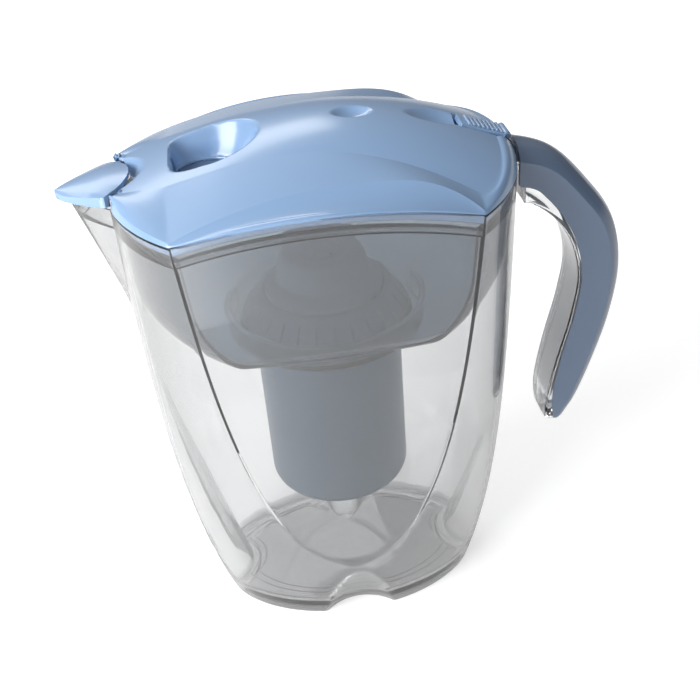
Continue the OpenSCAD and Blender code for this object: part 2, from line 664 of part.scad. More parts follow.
module heel_disc(g, h) translate([heel_x - heel_r, 0, rim_z - 10])
    cylinder(r = heel_r + g, h = h, $fn = 160);
module bay_cone(g = 0) {
    down = 14;
    up = 10;
    translate([bay_x, 0, bay_z - down])
        cylinder(r1 = bay_r - bay_flare * down + g, r2 = bay_r + bay_flare * up + g,
                 h = down + up, $fn = round_fn);
}

// Room for the beak: upright round its sides, flared behind its heel
module beak_room() {
    intersection() {
        translate([bay_x, 0, rim_z - 6])
            cylinder(r = bay_r + 2, h = 30, $fn = round_fn);
        translate([bay_x - 30, -40, rim_z - 7]) cube([40.6, 80, 40]);
    }
    heel_disc(0.8, 14.5);
    bay_cone();
}

// The lip inside the rim, its top buried in the lid's wall
module lid_lip() difference() {
    plan_loft([rim_ring(1, -4, rim_wall + loose, false),
               rim_ring(1, lid_gap + 0.3, rim_wall + loose, false)]);
    plan_loft([rim_ring(1, -5, rim_wall + loose + 1.4, false),
               rim_ring(1, lid_gap + 3, rim_wall + loose + 1.4, false)]);
}

module lid_shell() color(body_blue) difference() {
    union() {
        difference() {
            lid_solid();
            difference() {
                lid_solid(lid_wall, 4);
                scoop_form(lid_wall);
                oval_cut(recess, lid_wall);
                oval_cut(dimple, lid_wall);
                lever_room(lid_wall);
                bay_cone(lid_wall);
            }
            beak_room();
        }
        difference() {
            lid_lip();
            beak_room();
        }
        // Lugs that carry the fill flap's pin and the beak's pin
        both_sides() {
            y_rod(flap_axis[0], flap_axis[1], barrel_r, barrel_out + barrel_gap,
                  barrel_out + barrel_gap + flap_lug_w);
            translate([flap_axis[0] - barrel_r, barrel_out + barrel_gap, flap_axis[1]])
                cube([7, flap_lug_w, 5.4]);
            y_rod(beak_axis[0], beak_axis[1], lug_r, lug_in, lug_out);
            translate([beak_axis[0], lug_in, beak_axis[1] - lug_r])
                cube([9, lug_out - lug_in, lug_r]);
        }
    }
    scoop_form();
    translate([hole_at, 0, flap_z - 6]) cylinder(r = flap_hole_r, h = 9.5, $fn = round_fn);
    oval_cut(recess);
    oval_cut(dimple);
    lever_room();
    y_rod(flap_axis[0], flap_axis[1], pin_r + run_fit, -12, 12);
    y_rod(beak_axis[0], beak_axis[1], pin_r + run_fit, -14, 14);
    lever_frame() y_rod(0, lever_pin_z, pin_r + run_fit, -lever_pin_y - 0.5,
                        lever_pin_y + 0.5);
}

module fill_flap() color(body_blue) difference() {
    union() {
        translate([hole_at, 0, flap_z]) cylinder(r = flap_hole_r - 0.6, h = 1.8,
                                                 $fn = round_fn);
        both_sides() y_rod(flap_axis[0], flap_axis[1], barrel_r, barrel_in, barrel_out);
        both_sides() translate([flap_axis[0], barrel_in, flap_axis[1] - 0.6])
            cube([flap_hole_r - 2, barrel_out - barrel_in, 2.8]);
    }
    y_rod(flap_axis[0], flap_axis[1], pin_r + run_fit, -12, 12);
}
module fill_flap_pin() color([0.75, 0.76, 0.78])
    both_sides() y_rod(flap_axis[0], flap_axis[1], pin_r, -1,
                       barrel_out + barrel_gap + flap_lug_w - 0.1);
module fill_flap_spring() color([0.6, 0.6, 0.62])
    wound_sleeve(flap_axis[0], flap_axis[1], barrel_in - 0.4);

module spout_flap() color(body_blue) difference() {
    union() {
        intersection() {
            difference() {
                skin([for (x = beak_xs) beak_ring(beak_tip + x, 0, beak_low)]);
                skin([for (x = beak_xs) if (x > 5)
                    beak_ring(beak_tip + x + (x > 30 ? 5 : 0), 2, beak_low - 2)]);
            }
            heel_disc(0, 40);
        }
        y_rod(beak_axis[0], beak_axis[1], barrel_r, -lug_in + 0.5, lug_in - 0.5);
        translate([beak_axis[0] - 1, -lug_in + 0.5, beak_axis[1]])
            cube([2, 2 * lug_in - 1, 3.6]);
    }
    y_rod(beak_axis[0], beak_axis[1], pin_r + run_fit, -14, 14);
    // Notches over the lid's lugs, and the turn that the lugs' arms need
    both_sides() translate([beak_axis[0] - 3, lug_in - 0.4, rim_z - 1])
        cube([20, lug_out - lug_in + 0.8, beak_axis[1] + 2.4 - rim_z + 1]);
}
module spout_flap_pin() color([0.75, 0.76, 0.78])
    y_rod(beak_axis[0], beak_axis[1], pin_r, -lug_out - 0.2, lug_out + 0.2);

rib_count = 9;
rib_pitch = 2.05;
module release_lever() color(body_blue) lever_frame() difference() {
    union() {
        translate([-3, -lever_w / 2, -1.3]) cube([lever_len + 1.5, lever_w, 2.3]);
        for (k = [0 : rib_count - 1])
            y_rod(0.6 + rib_pitch * k, 1, 0.75, -lever_w / 2 + 0.6, lever_w / 2 - 0.6, 24);
        y_rod(lever_len - 0.6, 0.3, 1.8, -lever_w / 2 + 0.8, lever_w / 2 - 0.8);
        both_sides() y_rod(0, lever_pin_z, barrel_r, barrel_in, lever_w / 2);
    }
    y_rod(0, lever_pin_z, pin_r + run_fit, -12, 12);
    translate([-2.9, -barrel_in, -5]) cube([5.8, 2 * barrel_in, 5]);
}
module release_lever_pin() color([0.75, 0.76, 0.78])
    lever_frame() y_rod(0, lever_pin_z, pin_r, -lever_pin_y, lever_pin_y);
module lever_spring() color([0.6, 0.6, 0.62])
    lever_frame() wound_sleeve(0, lever_pin_z, barrel_in - 0.4);

jug_shell();
handle_core();
handle_cover();
handle_peg();
hopper();
hopper_seat_seal();
cartridge_body();
cartridge_skirt();
cartridge_knob();
cartridge_seal();
inlet_mesh();
outlet_mesh();
filter_media();
cartridge_spigot();
lid_shell();
fill_flap();
fill_flap_pin();
fill_flap_spring();
spout_flap();
spout_flap_pin();
release_lever();
release_lever_pin();
lever_spring();
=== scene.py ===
"""Looks of the water filter pitcher: moulded plastic skins worked out from the part's own
curves, a pale studio and the photograph's camera. Metres; +X handle, -X spout, +Z up.
The curves below are in millimetres, as in the part's source, and become metres when a
skin is made."""

import json
import math

import bmesh
import bpy
import numpy as np
from mathutils import Matrix, Vector


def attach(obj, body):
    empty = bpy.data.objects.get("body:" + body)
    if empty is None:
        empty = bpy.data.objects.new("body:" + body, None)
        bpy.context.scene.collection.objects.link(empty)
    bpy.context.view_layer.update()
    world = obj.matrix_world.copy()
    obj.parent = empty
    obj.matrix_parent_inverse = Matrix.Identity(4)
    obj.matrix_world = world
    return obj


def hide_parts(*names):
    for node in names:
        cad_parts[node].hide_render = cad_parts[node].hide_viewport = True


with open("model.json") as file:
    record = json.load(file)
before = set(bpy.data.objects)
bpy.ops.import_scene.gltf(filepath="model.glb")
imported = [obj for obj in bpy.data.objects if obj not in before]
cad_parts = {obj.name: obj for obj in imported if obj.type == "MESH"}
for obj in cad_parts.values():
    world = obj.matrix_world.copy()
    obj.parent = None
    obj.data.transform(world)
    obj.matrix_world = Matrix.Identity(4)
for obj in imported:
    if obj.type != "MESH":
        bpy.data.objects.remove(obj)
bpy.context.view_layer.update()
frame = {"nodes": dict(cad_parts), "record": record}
NODES = frame["nodes"]
BODY_OF = {name: body for body, names in frame["record"]["behaviour"]["bodies"].items()
           for name in names}
scene = bpy.context.scene

# Sizes of the jug, millimetres
FOOT_A, END_GAIN, END_RISE = 65.0, 20.0, 60.0
FOOT_B, RIM_B, SIDE_BULGE = 43.0, 81.0, 0.8
PANEL_FOOT, PANEL_RIM, PANEL_BOW = 47.5, 62.5, 360.0
RIM_Z, RIM_FALL, RIM_ARCH = 222.0, 3.4, 9.4
WALL, RIM_WALL, FLOOR_Z = 2.4, 1.3, 7.5
SPOUT_REACH, SPOUT_W, SPOUT_LOW, SPOUT_SHARE = 16.0, 18.0, 162.0, 1 / 3
# Flutes: turn, start from the axis, radius, height where they run out
FLUTES = ((180.0, 51.0, 18.0, 126.0), (0.0, 51.0, 18.0, 64.0),
          (90.0, 34.0, 26.0, 31.0), (270.0, 34.0, 26.0, 31.0))
# Reach of the rounding at a flute's edge, and how steeply the wall climbs beside it
FLUTE_EDGE, FLUTE_CLIMB = 0.8, 6
# Spout fold: half width at its foot, and powers of the height for width and reach
FOLD_FOOT, FOLD_POWER, LIP_POWER = 4, 0.7, 1.15
# Least distance of a panel's corner from the middle
CORNER_LEAST = 6.0
# Bead round the panels: height at which it starts, and the run to its full size
BEAD_FROM, BEAD_RUN = 12, 10
# Lid
CROWN_H, CREASE_W, LID_GAP, LID_WALL = 22.0, 25.0, 0.6, 2.0
FACET_IN, FACET_RISE, FACET_PEAK, DOME_REACH = 49.5, 13.0, 0.3, 17.0
HANDLE_W, COVER_WALL = 24.0, 2.4
HANDLE_REACH, HANDLE_H, HANDLE_DEPTH = 40.0, 146.0, 22.0
# Points across each straight side of the handle cover, its crease at the last of them
SIDE_POINTS = 9
# Rows of the lid's skin: up the facet, on to the crease, and on to the middle
FACET_ROWS, DOME_ROWS, TOP_ROWS = 15, 25, 51
# Rounds of smoothing of the lid's skin at the handle end
SMOOTHING_ROUNDS = 14

# Metres in a millimetre; distances in metres below which points of a skin are merged,
# edges count as nothing, and points of a CAD node's copy are merged
MM, MERGE, NOTHING, TWIN_MERGE = 0.001, 4e-6, 1e-6, 2e-6
# Heights in metres between which the painted shade of the foot comes in, going down
FOOT_SHADE_START, FOOT_SHADE_FULL = 0.010, 0.0075


# ---------------------------------------------------------------- shared effects
def group(name, inputs, outputs):
    """An empty shader node group with the named sockets, its input and output nodes."""
    tree = bpy.data.node_groups.new(name, "ShaderNodeTree")
    for label, kind, value in inputs:
        socket = tree.interface.new_socket(label, in_out="INPUT", socket_type=kind)
        socket.default_value = value
    for label, kind in outputs:
        tree.interface.new_socket(label, in_out="OUTPUT", socket_type=kind)
    return tree, tree.nodes.new("NodeGroupInput"), tree.nodes.new("NodeGroupOutput")


def math_node(tree, operation, a, b=None, clamp=False):
    """A math node's result; a and b are numbers or sockets."""
    node = tree.nodes.new("ShaderNodeMath")
    node.operation = operation
    node.use_clamp = clamp
    for slot, value in enumerate((a, b)):
        if value is None:
            continue
        if isinstance(value, (int, float)):
            node.inputs[slot].default_value = value
        else:
            tree.links.new(value, node.inputs[slot])
    return node.outputs[0]


def noise(tree, coords, scale, detail, roughness=0.5):
    """The value of a noise texture over the given coordinates."""
    node = tree.nodes.new("ShaderNodeTexNoise")
    node.inputs["Scale"].default_value = scale
    node.inputs["Detail"].default_value = detail
    node.inputs["Roughness"].default_value = roughness
    tree.links.new(coords, node.inputs["Vector"])
    return node.outputs["Fac"]


def mix_to(tree, factor, start, colour):
    """A colour that turns from the start socket's to a fixed one as the factor grows."""
    mix = tree.nodes.new("ShaderNodeMix")
    mix.data_type = "RGBA"
    tree.links.new(factor, mix.inputs["Factor"])
    tree.links.new(start, mix.inputs["A"])
    mix.inputs["B"].default_value = (*colour, 1)
    return mix.outputs["Result"]


def moulding_group():
    """Moulded plastic: a fine grain for the bump, slow drifts of shade and of gloss,
    and faint rubbed streaks where hands and cloths pass."""
    tree, given, result = group("moulding", [
        ("Colour", "NodeSocketColor", (0.5, 0.5, 0.5, 1)),
        ("Shade drift", "NodeSocketFloat", 0.05),
        ("Gloss", "NodeSocketFloat", 0.3),
        ("Gloss drift", "NodeSocketFloat", 0.06),
        ("Grain size", "NodeSocketFloat", 900.0)], [
        ("Colour", "NodeSocketColor"), ("Roughness", "NodeSocketFloat"),
        ("Height", "NodeSocketFloat")])
    coords = tree.nodes.new("ShaderNodeTexCoord").outputs["Object"]
    slow = noise(tree, coords, 14, 3)
    streak_map = tree.nodes.new("ShaderNodeMapping")
    streak_map.inputs["Scale"].default_value = (1, 1, 5)
    streak_map.inputs["Rotation"].default_value = (0.5, 0.3, 0.8)
    tree.links.new(coords, streak_map.inputs["Vector"])
    streaks = noise(tree, streak_map.outputs[0], 150, 5, 0.6)
    grain = tree.nodes.new("ShaderNodeTexNoise")
    grain.inputs["Detail"].default_value = 2
    tree.links.new(coords, grain.inputs["Vector"])
    tree.links.new(given.outputs["Grain size"], grain.inputs["Scale"])
    # shade: 1 + drift * (slow - 0.5)
    lift = math_node(tree, "MULTIPLY", math_node(tree, "SUBTRACT", slow, 0.5),
                     given.outputs["Shade drift"])
    level = math_node(tree, "ADD", lift, 1.0)
    tint = tree.nodes.new("ShaderNodeMix")
    tint.data_type = "RGBA"
    tint.blend_type = "MULTIPLY"
    tint.inputs["Factor"].default_value = 1
    tree.links.new(given.outputs["Colour"], tint.inputs["A"])
    tree.links.new(level, tint.inputs["B"])
    tree.links.new(tint.outputs["Result"], result.inputs["Colour"])
    # roughness: gloss + drift * (streaks + slow - 1)
    both = math_node(tree, "SUBTRACT", math_node(tree, "ADD", slow, streaks), 1.0)
    rough = math_node(tree, "ADD", given.outputs["Gloss"],
                      math_node(tree, "MULTIPLY", both, given.outputs["Gloss drift"]),
                      clamp=True)
    tree.links.new(rough, result.inputs["Roughness"])
    tree.links.new(grain.outputs["Fac"], result.inputs["Height"])
    return tree


MOULDING = moulding_group()


def material(name):
    """A new node material with its Principled shader."""
    mat = bpy.data.materials.new(name)
    mat.use_nodes = True
    return mat, mat.node_tree, mat.node_tree.nodes["Principled BSDF"]


def moulded(name, colour, gloss=0.3, shade=0.06, drift=0.08, grain=900, bump=0.05,
            depth=0.0002, coat=0.0, transmission=0.0, ior=1.5, specular=0.5,
            subsurface=0.0, edge_shade_colour=None, edge_shade_power=3.0, foot_shade_colour=None,
            coat_gloss=0.08):
    """A plastic whose colour, gloss and fine height come from the moulding group. With an
    edge shade colour the colour turns to it where the surface is seen edge on: painted shade
    standing in for the dark refraction at the edges, and in part for the longer path through
    the plastic. With a foot shade colour it turns to that low in the foot: painted shade
    standing in for the shadow seen through the base, and in part for the thicker plastic
    there."""
    mat, tree, shader = material(name)
    effect = tree.nodes.new("ShaderNodeGroup")
    effect.node_tree = MOULDING
    effect.inputs["Colour"].default_value = (*colour, 1)
    effect.inputs["Shade drift"].default_value = shade
    effect.inputs["Gloss"].default_value = gloss
    effect.inputs["Gloss drift"].default_value = drift
    effect.inputs["Grain size"].default_value = grain
    shade_out = effect.outputs["Colour"]
    # painted shade: the colour darkens low in the foot, for the shadow seen through the base
    # and in part the thicker plastic there
    if foot_shade_colour:
        place = tree.nodes.new("ShaderNodeSeparateXYZ")
        tree.links.new(tree.nodes.new("ShaderNodeTexCoord").outputs["Object"],
                       place.inputs[0])
        foot = tree.nodes.new("ShaderNodeMapRange")
        foot.interpolation_type = "SMOOTHSTEP"
        for label, value in (("From Min", FOOT_SHADE_START), ("From Max", FOOT_SHADE_FULL),
                             ("To Min", 0.0), ("To Max", 1.0)):
            foot.inputs[label].default_value = value
        tree.links.new(place.outputs["Z"], foot.inputs["Value"])
        shade_out = mix_to(tree, foot.outputs["Result"], shade_out, foot_shade_colour)
    # painted shade: the colour darkens where the surface is seen edge on, for the dark
    # refraction at the edges and in part the longer path through the plastic
    if edge_shade_colour:
        facing = tree.nodes.new("ShaderNodeLayerWeight").outputs["Facing"]
        edge_shade_share = math_node(tree, "POWER", facing, edge_shade_power)
        shade_out = mix_to(tree, edge_shade_share, shade_out, edge_shade_colour)
    tree.links.new(shade_out, shader.inputs["Base Color"])
    tree.links.new(effect.outputs["Roughness"], shader.inputs["Roughness"])
    if bump > 0:
        relief = tree.nodes.new("ShaderNodeBump")
        relief.inputs["Strength"].default_value = bump
        relief.inputs["Distance"].default_value = depth
        tree.links.new(effect.outputs["Height"], relief.inputs["Height"])
        tree.links.new(relief.outputs["Normal"], shader.inputs["Normal"])
    shader.inputs["IOR"].default_value = ior
    shader.inputs["Specular IOR Level"].default_value = specular
    shader.inputs["Coat Weight"].default_value = coat
    shader.inputs["Coat Roughness"].default_value = coat_gloss
    shader.inputs["Transmission Weight"].default_value = transmission
    if subsurface:
        shader.inputs["Subsurface Weight"].default_value = subsurface
        shader.inputs["Subsurface Radius"].default_value = (1.0, 1.0, 1.0)
        shader.inputs["Subsurface Scale"].default_value = 0.004
    return mat


# Painted shade: the clear and smoky plastics darken where seen edge on, and the jug also low
# in its foot
clear_jug = moulded("clear_jug_plastic", (0.91, 0.915, 0.92), gloss=0.0, shade=0.02,
                    drift=0.01, bump=0, transmission=1.0, ior=1.48, coat=0.8,
                    coat_gloss=0.3, edge_shade_colour=(0.05, 0.053, 0.06), edge_shade_power=2.3,
                    foot_shade_colour=(0.5, 0.505, 0.515))
clear_liner = moulded("clear_liner_plastic", (0.98, 0.985, 0.99), gloss=0.02, shade=0.01,
                      drift=0.02, bump=0, transmission=1.0, ior=1.46, coat=0.5,
                      coat_gloss=0.2, edge_shade_colour=(0.2, 0.22, 0.26), edge_shade_power=2.8)
blue_lid = moulded("blue_lid_plastic", (0.25, 0.40, 0.64), gloss=0.25, shade=0.03,
                   drift=0.03, bump=0.008, coat=0.35, specular=0.8, coat_gloss=0.16)
# Painted shade: the lid's blue darkened for the handle cover and the fill flap in the scoop,
# which lie in shade
lid_blue_painted_shade = moulded("lid_blue_painted_shade_plastic", (0.115, 0.17, 0.27), gloss=0.25,
                      shade=0.03, drift=0.03, bump=0.008, coat=0.35, specular=0.7,
                      coat_gloss=0.16)
# Painted shade: the hopper darkens where it is seen edge on
smoke_hopper = moulded("smoke_hopper_plastic", (0.36, 0.43, 0.50), gloss=0.05,
                       drift=0.03, bump=0, transmission=0.95, ior=1.4, coat=1.0,
                       coat_gloss=0.3, edge_shade_colour=(0.02, 0.025, 0.032), edge_shade_power=1.8)
grey_body = moulded("grey_cartridge_plastic", (0.085, 0.12, 0.165), gloss=0.35,
                    shade=0.05, bump=0.002)
pale_head = moulded("pale_head_plastic", (0.80, 0.83, 0.87), gloss=0.3, bump=0.01,
                    shade=0.03, subsurface=0.2)
seal_grey = moulded("seal_rubber", (0.5, 0.52, 0.55), gloss=0.6, grain=1500, bump=0.1)
mesh_cloth = moulded("filter_gauze", (0.7, 0.71, 0.72), gloss=0.6, grain=2500, bump=0.3)
granules = moulded("filter_granules", (0.03, 0.03, 0.033), gloss=0.7, grain=700,
                   bump=0.9, depth=0.0008)


def steel_material():
    """Drawn steel: fine rings across the pin from noise stretched along Y."""
    mat, tree, shader = material("pin_steel")
    coords = tree.nodes.new("ShaderNodeTexCoord").outputs["Object"]
    drawn = tree.nodes.new("ShaderNodeMapping")
    drawn.inputs["Scale"].default_value = (1, 0.05, 1)
    tree.links.new(coords, drawn.inputs["Vector"])
    lines = noise(tree, drawn.outputs[0], 4000, 3)
    tree.links.new(math_node(tree, "ADD", math_node(tree, "MULTIPLY", lines, 0.2), 0.2),
                   shader.inputs["Roughness"])
    shader.inputs["Base Color"].default_value = (0.56, 0.57, 0.58, 1)
    shader.inputs["Metallic"].default_value = 1
    return mat


pin_steel = steel_material()

FINISH = {
    "jug_shell": clear_jug, "handle_core": clear_liner, "handle_cover": lid_blue_painted_shade,
    "handle_peg": pale_head, "hopper": smoke_hopper, "hopper_seat_seal": seal_grey,
    "cartridge_body": grey_body, "cartridge_skirt": pale_head,
    "cartridge_knob": pale_head, "cartridge_seal": seal_grey, "inlet_mesh": mesh_cloth,
    "outlet_mesh": mesh_cloth, "filter_media": granules, "cartridge_spigot": clear_jug,
    "lid_shell": blue_lid, "fill_flap": lid_blue_painted_shade, "fill_flap_pin": pin_steel,
    "fill_flap_spring": pin_steel, "spout_flap": blue_lid, "spout_flap_pin": pin_steel,
    "release_lever": blue_lid, "release_lever_pin": pin_steel, "lever_spring": pin_steel,
}


# ---------------------------------------------------------------- making a piece
def dress(obj, mat):
    """Give an object one material."""
    obj.data.materials.clear()
    obj.data.materials.append(mat)


def stand_for(piece, node):
    """Let a piece take a node's finish and body, and stand in its place."""
    dress(piece, FINISH[node])
    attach(piece, BODY_OF[node])
    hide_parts(node)


def shade(mesh, angle):
    """Shade smooth, except over edges sharper than the angle in degrees."""
    mesh.polygons.foreach_set("use_smooth", np.ones(len(mesh.polygons), bool))
    mesh.set_sharp_from_angle(angle=math.radians(angle))


def smooth_twin(node, angle=30):
    """A merged copy of a CAD node, shaded smooth except over edges sharper than angle."""
    mesh = NODES[node].data.copy()
    work = bmesh.new()
    work.from_mesh(mesh)
    bmesh.ops.remove_doubles(work, verts=work.verts, dist=TWIN_MERGE)
    work.to_mesh(mesh)
    work.free()
    shade(mesh, angle)
    piece = bpy.data.objects.new(node + "_moulding", mesh)
    scene.collection.objects.link(piece)
    weighted = piece.modifiers.new("normals", "WEIGHTED_NORMAL")
    weighted.keep_sharp = True
    weighted.weight = 100
    stand_for(piece, node)
    return piece


def grid_faces(rows, columns, round_rows=False, round_columns=False):
    """Corner numbers of the quads between the points of a grid, rows * columns * 4."""
    r = np.arange(rows if round_rows else rows - 1)[:, None]
    c = np.arange(columns if round_columns else columns - 1)[None, :]
    r2, c2 = (r + 1) % rows, (c + 1) % columns
    return np.stack([r * columns + c, r * columns + c2, r2 * columns + c2,
                     r2 * columns + c], axis=-1)


def make_piece(name, points, quads, angle=35, flip=False, lines=None):
    """A mesh object from points in millimetres and quads, its doubles merged. An edge
    between two points of the same number above zero in lines stays crisp."""
    points = np.ascontiguousarray(points, float).reshape(-1, 3) * MM
    quads = np.asarray(quads).reshape(-1, 4)
    if flip:
        quads = quads[:, ::-1]
    mesh = bpy.data.meshes.new(name)
    mesh.vertices.add(len(points))
    mesh.vertices.foreach_set("co", points.ravel())
    mesh.loops.add(quads.size)
    mesh.loops.foreach_set("vertex_index", quads.ravel())
    mesh.polygons.add(len(quads))
    mesh.polygons.foreach_set("loop_start", np.arange(0, quads.size, 4))
    mesh.update(calc_edges=True)
    if lines is not None:
        mark = mesh.attributes.new("line", "INT", "POINT")
        mark.data.foreach_set("value", np.ascontiguousarray(lines, np.int32).ravel())
    mesh.validate()
    work = bmesh.new()
    work.from_mesh(mesh)
    bmesh.ops.remove_doubles(work, verts=work.verts, dist=MERGE)
    bmesh.ops.dissolve_degenerate(work, edges=work.edges, dist=NOTHING)
    loose = [v for v in work.verts if not v.link_faces]
    bmesh.ops.delete(work, geom=loose, context="VERTS")
    work.to_mesh(mesh)
    work.free()
    shade(mesh, angle)
    if lines is not None:
        crisp_lines(mesh)
    piece = bpy.data.objects.new(name, mesh)
    scene.collection.objects.link(piece)
    return piece


def crisp_lines(mesh):
    """Mark as sharp the edges whose two ends carry the same line number."""
    number = np.zeros(len(mesh.vertices), np.int32)
    mesh.attributes["line"].data.foreach_get("value", number)
    ends = np.zeros(2 * len(mesh.edges), np.int32)
    mesh.edges.foreach_get("vertices", ends)
    ends = number[ends.reshape(-1, 2)]
    sharp = np.zeros(len(mesh.edges), bool)
    mesh.edges.foreach_get("use_edge_sharp", sharp)
    sharp |= (ends[:, 0] == ends[:, 1]) & (ends[:, 0] > 0)
    mesh.edges.foreach_set("use_edge_sharp", sharp)
    mesh.attributes.remove(mesh.attributes["line"])


def soft_min(a, b, reach):
    """The lesser of two heights, blended where they differ by less than reach."""
    h = np.clip(1 - np.abs(a - b) / reach, 0, None)
    return np.minimum(a, b) - h * h * reach / 4


# ---------------------------------------------------------------- plan of the jug
def end_a(z):
    """Half length: foot value plus a gain that dies out as exp(-z / rise)."""
    return FOOT_A + END_GAIN * (1 - np.exp(-z / END_RISE))


def side_b(z):
    """Half width of the ellipse: straight growth with height plus a slight swell."""
    t = z / RIM_Z
    return FOOT_B + (RIM_B - FOOT_B) * t + 4 * SIDE_BULGE * t * (1 - t)


def panel_y(z):
    """Half distance between the side panels, growing in proportion to height."""
    return PANEL_FOOT + (PANEL_RIM - PANEL_FOOT) * z / RIM_Z


def corner_x(z, d=0.0, e=0.0):
    """Where a panel's bow (y less x squared over twice the bow) meets the ellipse."""
    a, b, y, k = end_a(z) - d - e, side_b(z) - d, panel_y(z) - d, 0.5 / PANEL_BOW
    p, q = b * b / (a * a) - 2 * y * k, y * y - b * b
    u = np.where(q < 0, -2 * q / (p + np.sqrt(np.maximum(p * p - 4 * k * k * q, 0))), 0)
    return np.sqrt(np.maximum(u, CORNER_LEAST ** 2))


def side_y(x, z, d=0.0, e=0.0):
    """Half width at x: the lesser of the ellipse and the bowed panel."""
    a = end_a(z) - d - e
    return np.minimum((side_b(z) - d) * np.sqrt(np.maximum(0, 1 - (x / a) ** 2)),
                      panel_y(z) - d - 0.5 * x * x / PANEL_BOW)


def stations(side_count, end_count):
    """Places round the plan, from 0 to 4: near panel, handle end, far panel, spout end."""
    side = (np.arange(side_count)) / side_count
    end = (np.arange(end_count)) / end_count
    return np.concatenate([side, 1 + end, 2 + side, 3 + end])


def stretch(s):
    """Which of the four stretches a place is on, and how far along it, -1 to 1."""
    part = np.floor(s).astype(int) % 4
    return part, 2 * (s - np.floor(s)) - 1


def spout_rise(z):
    """Height above the spout's lowest point, as a share of its whole height."""
    return np.clip((z - SPOUT_LOW) / (RIM_Z - SPOUT_LOW), 0, None)


def plan(s, z, d=0.0, spout=True, e=0.0):
    """Point of the plan at place s and height z, moved in by d and at the ends by e more.
    A panel runs evenly in x; an end runs evenly round its ellipse, and the spout's fold
    stands out from it in a V whose reach grows as a power of the height."""
    s, z = np.broadcast_arrays(np.asarray(s, float), np.asarray(z, float))
    part, f = stretch(s)
    a, b = end_a(z) - d - e, side_b(z) - d
    cx = corner_x(z, d, e)
    side = np.where(part == 0, -1.0, 1.0)
    xs = -side * f * cx
    ys = side * side_y(xs, z, d, e)
    c = np.arccos(np.clip(cx / a, -1, 1))
    rise = spout_rise(z)
    half = FOLD_FOOT + (SPOUT_W - FOLD_FOOT) * rise ** FOLD_POWER
    out = SPOUT_REACH * rise ** LIP_POWER
    fold = np.arcsin(np.clip(half / b, -1, 1))
    g = np.abs(f)
    in_fold = g <= SPOUT_SHARE
    turn = np.where(in_fold, f / SPOUT_SHARE * fold,
                    np.sign(f) * (fold + (g - SPOUT_SHARE) / (1 - SPOUT_SHARE)
                                  * (c - fold)))
    spouted = (part == 3) & spout
    t = np.where(spouted, turn, f * c)
    lip = np.where(spouted & in_fold, out * (1 - g / SPOUT_SHARE), 0)
    way = np.where(part == 3, -1.0, 1.0)
    even = part % 2 == 0
    x = np.where(even, xs, way * (a * np.cos(t) + lip))
    y = np.where(even, ys, way * b * np.sin(t))
    return np.stack([x, y, z], axis=-1)


def rim_base(s):
    """Height of the rim's ends: level round each end, sloping along the sides."""
    part, f = stretch(s)
    return RIM_Z - RIM_FALL * np.select([part == 0, part == 1, part == 2],
                                        [(1 + f) / 2, 1 + 0 * f, (1 - f) / 2], 0)


def rim_at(s):
    """The rim: its base plus a parabolic arch along each panel."""
    part, f = stretch(s)
    return rim_base(s) + np.where(part % 2 == 0, RIM_ARCH * (1 - f * f), 0)


def press_flutes(points, grow=0.0):
    """Pull points in to the flutes: each is a leaning round rod, and a point's distance
    outwards becomes the soft lesser of its own and the rod's near side. Grow adds to the
    rod's radius, for the skins that lie inside the outer one."""
    x, y, z = points[..., 0], points[..., 1], points[..., 2]
    for turn, start, radius, tip in FLUTES:
        a = math.radians(turn)
        reach_at_tip = end_a(tip) if turn in (0.0, 180.0) else side_b(tip)
        lean = math.atan((reach_at_tip - start) / tip)
        out = x * math.cos(a) + y * math.sin(a)
        across = -x * math.sin(a) + y * math.cos(a)
        big = radius + grow
        inside = np.clip(big * big - across * across, 0, None)
        near = start + (radius - np.sqrt(inside) + z * math.sin(lean)) / math.cos(lean)
        # beyond the rod's side the wall climbs steeply away
        near = near + np.clip(np.abs(across) - big, 0, None) * FLUTE_CLIMB
        new_out = np.where(out > 0, soft_min(out, near, FLUTE_EDGE), out)
        x = x + (new_out - out) * math.cos(a)
        y = y + (new_out - out) * math.sin(a)
    return np.stack([x, y, z], axis=-1)


def panel_bead(points, height=0.3, width=0.3):
    """A fine bead round each side panel, on the line where the ellipse meets the bowed
    panel: its height is a bell curve of the gap between those two surfaces."""
    x, z = points[..., 0], points[..., 2]
    inside = np.sqrt(np.clip(1 - (x / end_a(z)) ** 2, 0, None))
    gap = side_b(z) * inside - (panel_y(z) - 0.5 * x * x / PANEL_BOW)
    lift = height * np.exp(-(gap / width) ** 2) * np.clip((z - BEAD_FROM) / BEAD_RUN, 0, 1)
    return points + np.stack([0 * x, np.sign(points[..., 1]) * lift, 0 * x], axis=-1)


def to_centre(ring, shares):
    """Copies of a ring drawn in towards the middle by each share."""
    return [ring * np.array([k, k, 1.0]) for k in shares]


